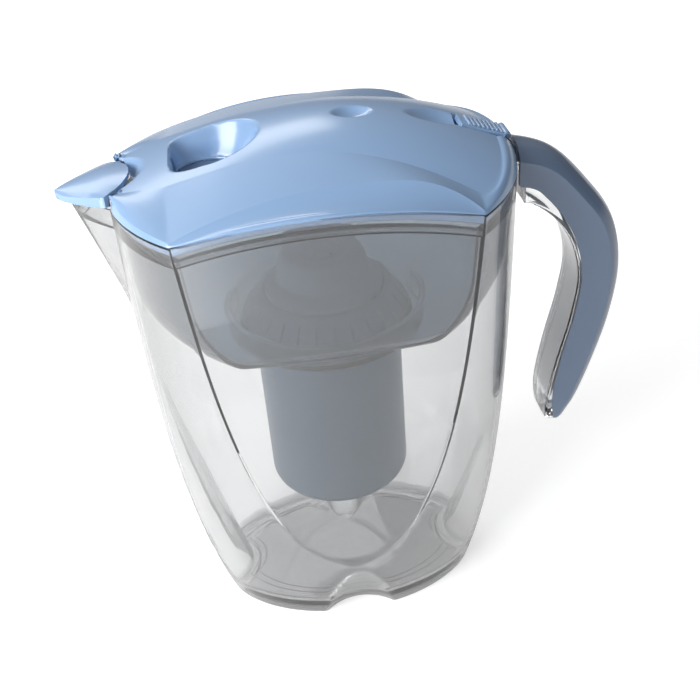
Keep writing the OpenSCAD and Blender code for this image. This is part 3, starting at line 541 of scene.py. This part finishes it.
# ---------------------------------------------------------------- jug
def jug_skin():
    """Closed skin of the jug: up the outside, over the rounded rim, down the inside past
    the ledge to the floor's middle, and from the underside's middle back to the foot."""
    s = stations(80, 150)
    rim = rim_at(s)
    foot = [press_flutes(plan(s, 0 * s, 0.8)), press_flutes(plan(s, 0 * s + 0.25, 0.25)),
            press_flutes(plan(s, 0 * s + 0.8))]
    share = np.concatenate([np.linspace(0.008, 0.13, 14), np.linspace(0.138, 0.6, 56),
                            np.linspace(0.63, 1, 16)])
    outside = [panel_bead(press_flutes(plan(s, t * rim))) for t in share[:-1]]
    outside += [press_flutes(plan(s, rim - 0.5))]
    top = [plan(s, rim - 0.15, 0.15), plan(s, rim, 0.45), plan(s, rim, RIM_WALL - 0.4),
           plan(s, rim - 0.3, RIM_WALL)]
    ledge = [plan(s, rim - 8.6, RIM_WALL), plan(s, rim - 9.0, RIM_WALL + 0.15),
             plan(s, rim - 9.15, WALL - 0.2), plan(s, rim - 9.5, WALL)]
    inner_share = np.concatenate([np.linspace(0.955, 0.63, 12),
                                  np.linspace(0.6, 0.058, 56)])
    inside = [press_flutes(plan(s, np.maximum(t * rim, FLOOR_Z + 5), WALL), WALL)
              for t in inner_share]
    corner = [press_flutes(plan(s, 0 * s + FLOOR_Z + 5 * (1 - math.sin(q)),
                                WALL + 4 * (1 - math.cos(q))), WALL)
              for q in np.linspace(0.2, math.pi / 2, 8)]
    groove = [0, 0, -0.35]
    marks = (0.94, 0.935, 0.925, 0.92, 0.87, 0.865, 0.855, 0.85)
    floor = [ring + np.multiply(groove, k in (1, 2, 5, 6)) for k, ring in
             enumerate(to_centre(corner[-1], marks))]
    floor += to_centre(corner[-1], (0.7, 0.5, 0.3, 0.1, 0.0))
    recess = press_flutes(plan(s, 0 * s + FLOOR_Z - 4, 6.0), 5.2)
    under = to_centre(recess, (0.0, 0.15, 0.4, 0.7, 0.9, 1.0))
    lip = [press_flutes(plan(s, 0 * s + FLOOR_Z - 4.6, 4.7), 4.0),
           press_flutes(plan(s, 0 * s + 0.6, 4.5), 4.0),
           press_flutes(plan(s, 0 * s, 3.9), 3.6)]
    rings = np.stack(foot + outside + top + ledge + inside + corner + floor
                     + under + lip)
    split = len(foot + outside + top + ledge + inside + corner + floor)
    quads = grid_faces(len(rings), len(s), round_rows=True, round_columns=True)
    keep = np.arange(len(rings)) != split - 1     # no wall between floor and underside
    lines = np.zeros(rings.shape[:2], int)
    corners = np.searchsorted(s, (0, 1, 2, 3))
    outer = len(foot + outside)
    lines[:outer, corners] = (1, 2, 3, 4)
    for row in (outer + 3, outer + 5):
        lines[row] = 5 + row
    return make_piece("jug_moulding", rings, quads[keep], angle=22, lines=lines)


# ---------------------------------------------------------------- hopper
HOPPER_FLOOR, HOPPER_WALL, TUB_IN, FLANGE_IN = 160.0, 2.0, 3.4, 1.7
BILGE, EDGE_ROUND = 30.0, 5.0
SEAT_Z, SEAT_R, HOLE_R = 151.0, 42.0, 34.6


def round_in(radius, h):
    """How far a fillet of this radius is drawn in at height h above its foot."""
    h = np.minimum(h, radius)
    return radius - np.sqrt(radius * radius - (radius - h) ** 2)


def bilge_ring(s, h, grow):
    """A ring of the tub: the plan moved in, rounded under at the sides and more at the
    ends."""
    z = HOPPER_FLOOR + h + grow * max(0.0, 1 - h / BILGE)
    return plan(s, 0 * s + z, TUB_IN + grow + round_in(EDGE_ROUND, h), False,
                round_in(BILGE, h) * 0.85)


def circle_like(ring, radius, z):
    """A circle whose points stand at the same bearings as those of a ring."""
    bearing = np.arctan2(ring[:, 1], ring[:, 0])
    return np.stack([radius * np.cos(bearing), radius * np.sin(bearing),
                     np.full(len(bearing), z)], axis=-1)


def hopper_skin():
    """Closed skin of the tub: from the hole out across the seat, up the inside, over the
    flange, down the outside and under to the hole again."""
    s = stations(90, 90)
    rim = rim_at(s)
    h = BILGE * np.linspace(0, 1, 26) ** 2
    inner = [bilge_ring(s, v, HOPPER_WALL) for v in h]
    outer = [bilge_ring(s, v, 0.0) for v in h]

    def upright(t, d):
        """A ring of the upright wall at height t, moved in by d."""
        return plan(s, t, d, False)
    low, high = HOPPER_FLOOR + BILGE + 1, rim - 7.0
    walls_in = [upright(low + (high - low) * t, TUB_IN + HOPPER_WALL)
                for t in np.linspace(0.05, 0.93, 10)]
    walls_out = [upright(low + (rim - 8.8 - low) * t, TUB_IN)
                 for t in np.linspace(1, 0.05, 10)]
    top = [upright(high - 0.3, TUB_IN + HOPPER_WALL), upright(high, TUB_IN + 1.6),
           upright(high, FLANGE_IN + 0.3), upright(high - 0.3, FLANGE_IN),
           upright(rim - 8.5, FLANGE_IN), upright(rim - 8.7, FLANGE_IN + 0.2)]
    base_in, base_out = inner[0], outer[0]
    z_in, z_out = base_in[0, 2], base_out[0, 2]
    seat = [circle_like(base_in, HOLE_R, SEAT_Z - 2), circle_like(base_in, HOLE_R, SEAT_Z),
            circle_like(base_in, SEAT_R - 0.6, SEAT_Z),
            circle_like(base_in, SEAT_R, SEAT_Z + 0.6),
            circle_like(base_in, SEAT_R, z_in - 0.8),
            circle_like(base_in, SEAT_R + 0.8, z_in)]
    under = [circle_like(base_out, SEAT_R + 2.8, z_out),
             circle_like(base_out, SEAT_R + 2, z_out - 0.8),
             circle_like(base_out, SEAT_R + 2, SEAT_Z - 1.4),
             circle_like(base_out, SEAT_R + 1.4, SEAT_Z - 2)]
    rings = np.stack(seat + inner + walls_in + top + walls_out + outer[::-1] + under)
    quads = grid_faces(len(rings), len(s), round_rows=True, round_columns=True)
    return make_piece("hopper_moulding", rings, quads, angle=28, flip=True)


# ---------------------------------------------------------------- handle
END_X = float(end_a(RIM_Z))
HANDLE_SHARES = np.array([
    [0.025, 0.078, 1.18, 0.39], [0.31, 0.103, 1.07, 0.3], [0.635, 0.186, 0.955, 0.16],
    [0.9, 0.299, 1, 0.1], [1, 0.438, 0.98, 0.08], [0.935, 0.596, 0.99, 0.08],
    [0.795, 0.753, 0.955, 0.08], [0.65, 0.904, 0.8, 0.12], [0.565, 0.997, 0.48, 0.2]])
HANDLE_PATH = np.stack([END_X + HANDLE_SHARES[:, 0] * HANDLE_REACH,
                        RIM_Z - HANDLE_SHARES[:, 1] * HANDLE_H,
                        HANDLE_SHARES[:, 2] * HANDLE_DEPTH,
                        HANDLE_SHARES[:, 3] * HANDLE_DEPTH], axis=-1)
HANDLE_LAST = len(HANDLE_PATH) - 1


def spline(p, u):
    """Smooth curve through the rows of p: at each place the cubic whose slopes are half
    the step between the neighbours."""
    u = np.asarray(u, float)
    i = np.clip(np.floor(u).astype(int), 0, len(p) - 2)
    t = (u - i)[..., None]
    a, b, c, d = (p[np.clip(i + k, 0, len(p) - 1)] for k in (-1, 0, 1, 2))
    return 0.5 * (2 * b + t * (c - a) + t * t * (2 * a - 5 * b + 4 * c - d)
                  + t ** 3 * (3 * b - a - 3 * c + d))


def handle_frame(u):
    """Centre, outward direction, depth, core share and half width at places u."""
    c = spline(HANDLE_PATH, u)
    d = (spline(HANDLE_PATH, np.minimum(u + 0.01, HANDLE_LAST))
         - spline(HANDLE_PATH, np.maximum(u - 0.01, 0)))[:, :2]
    d /= np.linalg.norm(d, axis=1, keepdims=True)
    k = np.clip(u - 0.3, 0, 1)[:, None]
    v = np.concatenate([1 - k + k * d[:, :1], k * d[:, 1:]], axis=1)
    t = v / np.linalg.norm(v, axis=1, keepdims=True)
    out = np.stack([-t[:, 1], t[:, 0]], axis=1)
    left = HANDLE_LAST - u
    w = HANDLE_W / 2 * np.where(left < 1,
                                0.72 + 0.28 * np.sqrt(np.clip(1 - (1 - left) ** 2, 0, 1)), 1)
    return c, out, w


def handle_skin(u, n, y):
    """Points at n outwards and y across from the handle's centre line."""
    c, out, _ = handle_frame(u)
    return np.stack([c[:, None, 0] + out[:, None, 0] * n, y,
                     c[:, None, 1] + out[:, None, 1] * n], axis=-1)


def cover_lines(u, q):
    """Sections of the cover moved in by q, from mouth to mouth: a straight side, a crease,
    a sloping shoulder that curves as a square, a back crowned as a parabola, and the
    same mirrored."""
    c, _, w = handle_frame(u)
    h, w = c[:, 2:3] / 2, w[:, None]
    mouth, r = c[:, 3:4] - h, np.minimum(5, 0.7 * h)
    k = h - r - 1.2
    side = np.linspace(0, 1, SIDE_POINTS)[None, :]
    turn = np.linspace(0.06, 1, 12)[None, :]
    back = np.linspace(-1, 1, 25)[None, 1:-1]
    ri = r - q
    n1 = mouth + (k - mouth) * side
    n2 = k + ri * turn
    n3 = (h - q) - (h - q - (k + ri)) * back ** 2
    y1, y3 = -w + q + 0 * n1, back * (w - r)
    y2 = -w + q + ri * (0.45 * turn + 0.55 * turn ** 2)
    n = np.concatenate([n1, n2, n3, n2[:, ::-1], n1[:, ::-1]], axis=1)
    y = np.concatenate([y1, y2, y3, -y2[:, ::-1], -y1[:, ::-1]], axis=1)
    return n, y


def handle_cover_skin():
    """The U-shaped cover: an outer and an inner line carried down the handle, closed
    along both mouths and at both ends."""
    u = np.linspace(0, HANDLE_LAST, 150)
    n_out, y_out = cover_lines(u, 0.0)
    n_in, y_in = cover_lines(u, COVER_WALL)
    n = np.concatenate([n_out, n_in[:, ::-1]], axis=1)
    y = np.concatenate([y_out, y_in[:, ::-1]], axis=1)
    rows = handle_skin(u, n, y)
    count, width = rows.shape[:2]
    quads = grid_faces(count, width, round_columns=True).reshape(-1, 4)
    i = np.arange(width // 2 - 1)
    k = width - 1 - i
    first = np.stack([i, k, k - 1, i + 1], axis=-1)
    last = (count - 1) * width + first[:, ::-1]
    lines = np.zeros(rows.shape[:2], int)
    lines[:, SIDE_POINTS - 1], lines[:, n_out.shape[1] - SIDE_POINTS] = 1, 2
    return make_piece("handle_cover_moulding", rows, np.concatenate([quads, first, last]),
                      angle=32, flip=True, lines=lines)


def handle_core_skin():
    """The clear liner: a slab with rounded inner corners and a rib that reaches into the
    cover, carried down the handle."""
    u = np.linspace(0.32, HANDLE_LAST, 150)
    c, _, w = handle_frame(u)
    h, w, share = c[:, 2:3] / 2, w[:, None], c[:, 3:4]
    m, r = share - h - 0.15, np.minimum(2, share - 0.5)
    rib = m + np.minimum(3, 0.14 * c[:, 2:3])
    k = w - COVER_WALL - 0.3
    turn = np.radians(np.linspace(0, 90, 7))[None, :]
    arc_n, arc_y = -h + r - r * np.sin(turn), w - r + r * np.cos(turn)
    across = np.linspace(1, -1, 9)[None, 1:-1]
    inner_n, inner_y = -h + 0 * across, across * (w - r)
    n = np.concatenate([m, m, rib, rib, m, m, arc_n, inner_n, arc_n[:, ::-1]], axis=1)
    y = np.concatenate([-w, -k, -k, k, k, w, arc_y, inner_y, -arc_y[:, ::-1]], axis=1)
    rows = handle_skin(u, n, y)
    count, width = rows.shape[:2]
    mid = rows.mean(axis=1, keepdims=True)
    ends = [np.broadcast_to(mid[[k]], (1, width, 3)) for k in (0, -1)]
    rows = np.concatenate([ends[0], rows, ends[1]], axis=0)
    quads = grid_faces(count + 2, width, round_columns=True)
    return make_piece("handle_core_moulding", rows, quads, angle=32, flip=True)


# ---------------------------------------------------------------- lid
def falls(x, peak, drop, reach):
    """An arc's fall from its peak: drop times the square, straight beyond the reach."""
    d = np.abs(x - peak)
    a = np.minimum(d, reach)
    return drop * (a * a + 2 * reach * (d - a))


def crown_z(x):
    """Height of the lid's middle line: an arc that falls faster towards the handle."""
    return RIM_Z + CROWN_H - np.where(x < 8, falls(x, 8, 0.00245, 49),
                                      falls(x, 8, 0.0033, 200))


def crown_slope(x):
    """Angle by which the middle line falls towards +X, from 1 mm either side."""
    return float(np.arctan((crown_z(x - 1) - crown_z(x + 1)) / 2))


def crease_z(x):
    """Height of the creases, an arc of the same kind set lower."""
    return RIM_Z + CROWN_H - 4 - np.where(x < -3, falls(x, -3, 0.0028, 38),
                                          falls(x, -3, 0.0042, 200))


def crease_y(x):
    """Distance of a crease from the middle, opening as a square."""
    return CREASE_W + 0.0027 * np.clip(x + 33, 0, None) ** 2


def lid_z(x, y):
    """The top panel: the crown's arc falling to the crease's as the square of y."""
    return crown_z(x) - (crown_z(x) - crease_z(x)) * (y / crease_y(x)) ** 2


CORNER = float(corner_x(RIM_Z))
BEAK_JOINT = (2 - END_X, SPOUT_W - 1)
SCOOP_AT, SCOOP_R, SCOOP_FRONT = 43.5 - END_X, 20.0, 18.5
HOLE_AT, FLAP_HOLE_R, FLAP_Z = 43.5 - END_X - 1.5, 14.0, RIM_Z + 0.5
LEVER_AT, LEVER_W = END_X - 19.5, 11.5
RECESS = (LEVER_AT - 12, 29.0, 15.0, 3.6)
DIMPLE = (END_X - 66.5, 17.0, 12.0, 3.0)
BAY_X, BAY_R, BAY_Z, BAY_FLARE = -END_X - 3.1, SPOUT_W + 0.1, RIM_Z + 7.5, 0.5


def facet_line(s):
    """Upper edge of the side facets: a hump skewed towards the handle; round the ends it
    stays near the rim."""
    part, f = stretch(s)
    cy = float(side_y(CORNER, RIM_Z)) - 0.5
    side = np.where(part == 0, -1.0, 1.0)
    h = -side * f
    e = h - FACET_PEAK
    swell = 1 - np.where(e < 0, np.abs(e / (1 + FACET_PEAK)) ** 2.2,
                         np.abs(e / (1 - FACET_PEAK)) ** 2.8)
    p = plan(s, RIM_Z + 0 * s, 0.9, False)
    even = part % 2 == 0
    return np.stack([np.where(even, h * (CORNER - 0.4), p[..., 0]),
                     np.where(even, side * (cy + (FACET_IN - cy) * swell), p[..., 1]),
                     rim_base(s) + 2 + np.where(even, FACET_RISE * swell,
                                                2.4 * (1 - f * f))], axis=-1)


def crease_line(s):
    """The crease: along the sides it opens towards the handle as a square; round the
    handle's end it is half an oval, and at the spout it runs in to the beak's bay."""
    part, f = stretch(s)
    g = np.abs(f)
    side = np.where(part == 0, -1.0, 1.0)
    x0 = -side * f * CORNER
    y0 = side * crease_y(x0)
    x1 = CORNER + DOME_REACH * np.cos(np.pi / 2 * f)
    y1 = crease_y(CORNER) * np.sin(np.pi / 2 * f)
    m = SPOUT_SHARE
    h, k = np.clip((g - m) / (1 - m), 0, None), np.minimum(1, g / m)
    x3 = BEAK_JOINT[0] - 1.5 * (1 - k * k) + (-CORNER - BEAK_JOINT[0]) * h
    y3 = -np.sign(f) * (BEAK_JOINT[1] * k + (crease_y(-CORNER) - BEAK_JOINT[1]) * h)
    x = np.select([part % 2 == 0, part == 1], [x0, x1], x3)
    y = np.select([part % 2 == 0, part == 1], [y0, y1], y3)
    z = np.where(part % 2 == 0, crease_z(x), lid_z(x, y))
    return np.stack([x, y, z], axis=-1)


def oval_height(x, y, oval):
    """Height of a finger hollow: a spindle turned about its long axis, whose radius at a
    distance along it is that of two arcs, sunk in the sloping crown."""
    place, length, width, deep = oval
    long_r, wide_r = (((c * c / 4 + deep * deep) / (2 * deep)) for c in (length, width))
    slope = crown_slope(place)
    along = (x - place) / math.cos(slope)
    spindle = wide_r - long_r + np.sqrt(np.clip(long_r ** 2 - along ** 2, 0, None))
    room = spindle ** 2 - y ** 2
    sunk = wide_r - deep - np.sqrt(np.clip(room, 0, None))
    outside = (room <= 0) | (spindle <= 0)
    height = (float(crown_z(place)) - math.tan(slope) * (x - place)
              + sunk / math.cos(slope))
    return np.where(outside, 1e3, height)


def scoop_height(x, y):
    """Height of the fill scoop's wall: its outline is a D (a fifth-power oval in front, a
    circle behind) whose size grows with height, and low down it closes to the hole."""
    dx = x - SCOOP_AT
    front = ((np.abs(dx) / SCOOP_FRONT) ** 5 + (np.abs(y) / SCOOP_R) ** 5) ** 0.2
    size = np.where(dx < 0, front, np.hypot(dx, y) / SCOOP_R)
    high = np.interp(size, [0.82, 0.94, 1.02, 1.2, 1.6], [9, 14, 19, 26, 60])
    past = np.clip(np.hypot(x - HOLE_AT, y) - FLAP_HOLE_R - 0.8, 0, None)
    short = np.clip(0.82 - size, 0, None) * SCOOP_R
    low = 3 + 6 * past / (past + short + 1e-6)
    return FLAP_Z + np.where(size < 0.82, low, high)


def lever_height(x, y):
    """Height of the lever's slot: a sloping floor with steep sides."""
    slope = crown_slope(LEVER_AT)
    run = x - LEVER_AT
    floor = float(crown_z(LEVER_AT)) - 0.6 - math.tan(slope) * run - 3.4 / math.cos(slope)
    off = np.maximum(np.abs(y) - LEVER_W / 2 - 0.6, -4 - run)
    return floor + np.clip(off, 0, None) * 12


def bay_edge(x):
    """Radius of the beak's bay where it cuts right through the lid."""
    return np.interp(x, [-79.0, -75.0], [BAY_R + 2, BAY_R - 3.1])


def lid_skin():
    """Outer skin of the lid: at each place round the plan a line runs from the rim up the
    facet, over the shoulder and the crease to the middle. Round the handle's end it is
    smoothed along itself, and then scoop, hollows, slot and bay are let in as the lesser
    of heights. The facet's upper edge and the crease stay crisp along both sides. The
    wall is given by thickening inwards."""
    s = stations(150, 90)
    rim = plan(s, rim_at(s), 0.0, False) + [0, 0, LID_GAP]
    facet, crease = facet_line(s), crease_line(s)
    part, f = stretch(s)
    swell = np.where(part % 2 == 1, 1.8 * (1 - f * f), 0.0)[:, None] + 0.1
    hollow = np.where(part % 2 == 0, 1 - f * f, 0.0)[:, None]
    lines = []
    for t in np.linspace(0, 1, FACET_ROWS + 1)[:-1]:
        lines.append(rim + (facet - rim) * t - [0, 0, 4] * hollow * t * (1 - t))
    for t in np.linspace(0, 1, DOME_ROWS + 1)[:-1]:
        lines.append(facet + (crease - facet) * t + [0, 0, 4] * swell * t * (1 - t))
    for t in np.linspace(1, 0, TOP_ROWS + 1):
        y = crease[:, 1] * t
        lines.append(np.stack([crease[:, 0], y, lid_z(crease[:, 0], y)], axis=-1))
    p = np.stack(lines, axis=1)                       # place, along, xyz
    soft = np.where(part == 1, np.clip(1.3 - f ** 4, 0, 1), 0.0)[:, None, None]
    for _ in range(SMOOTHING_ROUNDS):
        inner = (p[:, :-2] + 2 * p[:, 1:-1] + p[:, 2:]) / 4
        p[:, 2:-1] += soft * (inner[:, 1:] - p[:, 2:-1])
    x, y, z = p[..., 0], p[..., 1], p[..., 2]
    z = soft_min(z, scoop_height(x, y), 2.0)
    z = soft_min(z, oval_height(x, y, RECESS), 1.0)
    z = soft_min(z, oval_height(x, y, DIMPLE), 0.8)
    z = soft_min(z, lever_height(x, y), 0.5)
    reach = np.hypot(x - BAY_X, y)
    cone = BAY_Z + (reach - BAY_R) / BAY_FLARE
    z = soft_min(z, np.where(x > -100, cone, 1e3), 1.2)
    z = np.maximum(z, RIM_Z - RIM_FALL + LID_GAP * 0.5)
    # snap to the round hole and to the bay's edge, and drop what lies inside them
    gone = np.zeros(x.shape, bool)
    for cx, radius in ((HOLE_AT, lambda v: FLAP_HOLE_R + 0 * v), (BAY_X, bay_edge)):
        away = np.hypot(x - cx, y)
        limit = radius(x)
        inside = away < limit
        pull = limit / np.maximum(away, 1e-6)
        near = inside & (away > limit - 2.2)
        x = np.where(near, cx + (x - cx) * pull, x)
        y = np.where(near, y * pull, y)
        gone |= inside
    p = np.stack([x, y, z], axis=-1)
    rows, columns = p.shape[:2]
    quads = grid_faces(rows, columns, round_rows=True).reshape(-1, 4)
    keep = ~gone.ravel()[quads].all(axis=1)
    number = np.zeros(p.shape[:2], int)
    number[part % 2 == 0, FACET_ROWS] = 1
    number[part % 2 == 0, FACET_ROWS + DOME_ROWS] = 2
    piece = make_piece("lid_moulding", p, quads[keep], angle=38, flip=True, lines=number)
    wall = piece.modifiers.new("wall", "SOLIDIFY")
    wall.thickness = LID_WALL * MM
    wall.offset = -1
    wall.use_even_offset = False
    return piece


def lid_lip_skin():
    """The lip inside the rim: a rounded rectangle carried round the plan."""
    s = stations(110, 90)
    rim = rim_at(s)
    rings = [plan(s, rim + h, 1.7 + d, False) for h, d in
             ((0.8, 0.0), (-3.6, 0.0), (-4.0, 0.4), (-4.0, 1.0), (-3.6, 1.4), (0.8, 1.4))]
    p = np.stack(rings, axis=0)
    keep = np.hypot(p[..., 0] - BAY_X, p[..., 1]) > BAY_R + 2
    quads = grid_faces(len(rings), len(s), round_rows=True, round_columns=True)
    quads = quads.reshape(-1, 4)
    quads = quads[keep.ravel()[quads].all(axis=1)]
    return make_piece("lid_lip_moulding", p, quads, angle=32, flip=True)


# ---------------------------------------------------------------- dressing
for name, node in NODES.items():
    dress(node, FINISH[name])
for name in ("spout_flap", "cartridge_body", "cartridge_skirt", "cartridge_knob",
             "cartridge_spigot", "release_lever", "fill_flap"):
    smooth_twin(name)
stand_for(jug_skin(), "jug_shell")
stand_for(hopper_skin(), "hopper")
stand_for(handle_cover_skin(), "handle_cover")
stand_for(handle_core_skin(), "handle_core")
stand_for(lid_skin(), "lid_shell")
stand_for(lid_lip_skin(), "lid_shell")


# ---------------------------------------------------------------- studio
def aim_camera():
    """The photograph's camera: place and angles from the fit to its outlines."""
    yaw, pitch, roll = 0.0994, 0.5993, -0.0835        # radians
    focal, frame_width, sensor = 1024.1171, 700, 36   # pixels, pixels, millimetres
    place = (-0.0298053, -0.3931744, 0.3975074)
    ahead = Vector((math.sin(yaw) * math.cos(pitch), math.cos(yaw) * math.cos(pitch),
                    -math.sin(pitch)))
    right = Vector((math.cos(yaw), -math.sin(yaw), 0))
    up = right.cross(ahead)
    right_rolled = math.cos(roll) * right + math.sin(roll) * up
    up_rolled = -math.sin(roll) * right + math.cos(roll) * up
    data = bpy.data.cameras.new("camera")
    data.sensor_width = sensor
    data.lens = focal / frame_width * sensor
    cam = bpy.data.objects.new("camera", data)
    turn = Matrix((right_rolled, up_rolled, -ahead)).transposed().to_4x4()
    cam.matrix_world = Matrix.Translation(place) @ turn
    scene.collection.objects.link(cam)
    scene.camera = cam


def lamp(name, place, target, size, power, graded=False):
    """A rectangular soft light; a graded one fades to nothing across its width."""
    data = bpy.data.lights.new(name, "AREA")
    data.shape = "RECTANGLE"
    data.size, data.size_y = size
    data.energy = power
    if graded:
        data.use_nodes = True
        tree = data.node_tree
        across = tree.nodes.new("ShaderNodeSeparateXYZ")
        tree.links.new(tree.nodes.new("ShaderNodeNewGeometry").outputs["Parametric"],
                       across.inputs[0])
        fade = tree.nodes.new("ShaderNodeMapRange")
        fade.interpolation_type = "SMOOTHSTEP"
        fade.inputs["To Min"].default_value = 1
        fade.inputs["To Max"].default_value = 0
        tree.links.new(across.outputs["X"], fade.inputs["Value"])
        tree.links.new(fade.outputs["Result"], tree.nodes["Emission"].inputs["Strength"])
    obj = bpy.data.objects.new(name, data)
    obj.location = place
    obj.rotation_euler = (Vector(target) - Vector(place)).to_track_quat("-Z", "Y").to_euler()
    scene.collection.objects.link(obj)


def studio_world():
    """Soft pale room: white to the camera and through glass; to gloss a room that is
    white above, greyer towards the floor's edge, and brighter on the window's side."""
    world = bpy.data.worlds.new("room")
    world.use_nodes = True
    scene.world = world
    tree = world.node_tree
    tree.nodes.clear()
    out = tree.nodes.new("ShaderNodeOutputWorld")
    direction = tree.nodes.new("ShaderNodeTexCoord").outputs["Generated"]
    parts = tree.nodes.new("ShaderNodeSeparateXYZ")
    tree.links.new(direction, parts.inputs[0])
    ramp = tree.nodes.new("ShaderNodeValToRGB")
    ramp.color_ramp.elements[0].position = 0.44
    ramp.color_ramp.elements[0].color = (0.30, 0.32, 0.35, 1)
    ramp.color_ramp.elements[1].position = 0.75
    ramp.color_ramp.elements[1].color = (1, 1, 1, 1)
    height = math_node(tree, "ADD", math_node(tree, "MULTIPLY", parts.outputs["Z"], 0.5),
                       0.5)
    tree.links.new(height, ramp.inputs["Fac"])
    seen = tree.nodes.new("ShaderNodeBackground")
    seen.inputs["Color"].default_value = (1, 1, 1, 1)
    seen.inputs["Strength"].default_value = 1
    room = tree.nodes.new("ShaderNodeBackground")
    tilt, level = -0.22, 0.45                         # strength: tilt * X + level
    side = math_node(tree, "MULTIPLY_ADD", parts.outputs["X"], tilt)
    side.node.inputs[2].default_value = level
    tree.links.new(side, room.inputs["Strength"])
    tree.links.new(ramp.outputs["Color"], room.inputs["Color"])
    path = tree.nodes.new("ShaderNodeLightPath")
    mix = tree.nodes.new("ShaderNodeMixShader")
    visible = math_node(tree, "MAXIMUM", path.outputs["Is Camera Ray"],
                        path.outputs["Is Transmission Ray"])
    tree.links.new(visible, mix.inputs["Fac"])
    tree.links.new(room.outputs[0], mix.inputs[1])
    tree.links.new(seen.outputs[0], mix.inputs[2])
    tree.links.new(mix.outputs[0], out.inputs["Surface"])


def studio_floor():
    """A pale floor that keeps the shadow: matt, and lifted towards white for the camera,
    less so in reflections and through glass."""
    mesh = bpy.data.meshes.new("floor")
    half, lift_each = 6.0, 0.25
    mesh.from_pydata([(-half, -half, 0), (half, -half, 0), (half, half, 0),
                      (-half, half, 0)], [], [(0, 1, 2, 3)])
    floor = bpy.data.objects.new("floor", mesh)
    scene.collection.objects.link(floor)
    mat, tree, shader = material("floor_paper")
    shader.inputs["Base Color"].default_value = (0.9, 0.9, 0.9, 1)
    shader.inputs["Roughness"].default_value = 0.9
    shader.inputs["Specular IOR Level"].default_value = 0.1
    shader.inputs["Emission Color"].default_value = (1, 1, 1, 1)
    path = tree.nodes.new("ShaderNodeLightPath")
    rays = math_node(tree, "MAXIMUM", path.outputs["Is Camera Ray"],
                     math_node(tree, "MAXIMUM", path.outputs["Is Glossy Ray"],
                               path.outputs["Is Transmission Ray"]))
    lift = math_node(tree, "MULTIPLY_ADD", path.outputs["Is Camera Ray"],
                     lift_each)
    tree.links.new(math_node(tree, "MULTIPLY", rays, lift_each), lift.node.inputs[2])
    tree.links.new(lift, shader.inputs["Emission Strength"])
    mesh.materials.append(mat)


aim_camera()
studio_world()
studio_floor()
lamp("window_left", (-1.0, -0.6, 0.75), (0, 0, 0.15), (1.0, 0.8), 19)
lamp("back_top", (-0.3, 0.9, 0.9), (0, 0, 0.1), (0.9, 0.3), 2.5)
lamp("low_card", (-0.21, -0.27, 0.02), (-0.15, -0.1, 0.3), (0.36, 0.22), 1.1, True)

scene.view_settings.view_transform = "Standard"
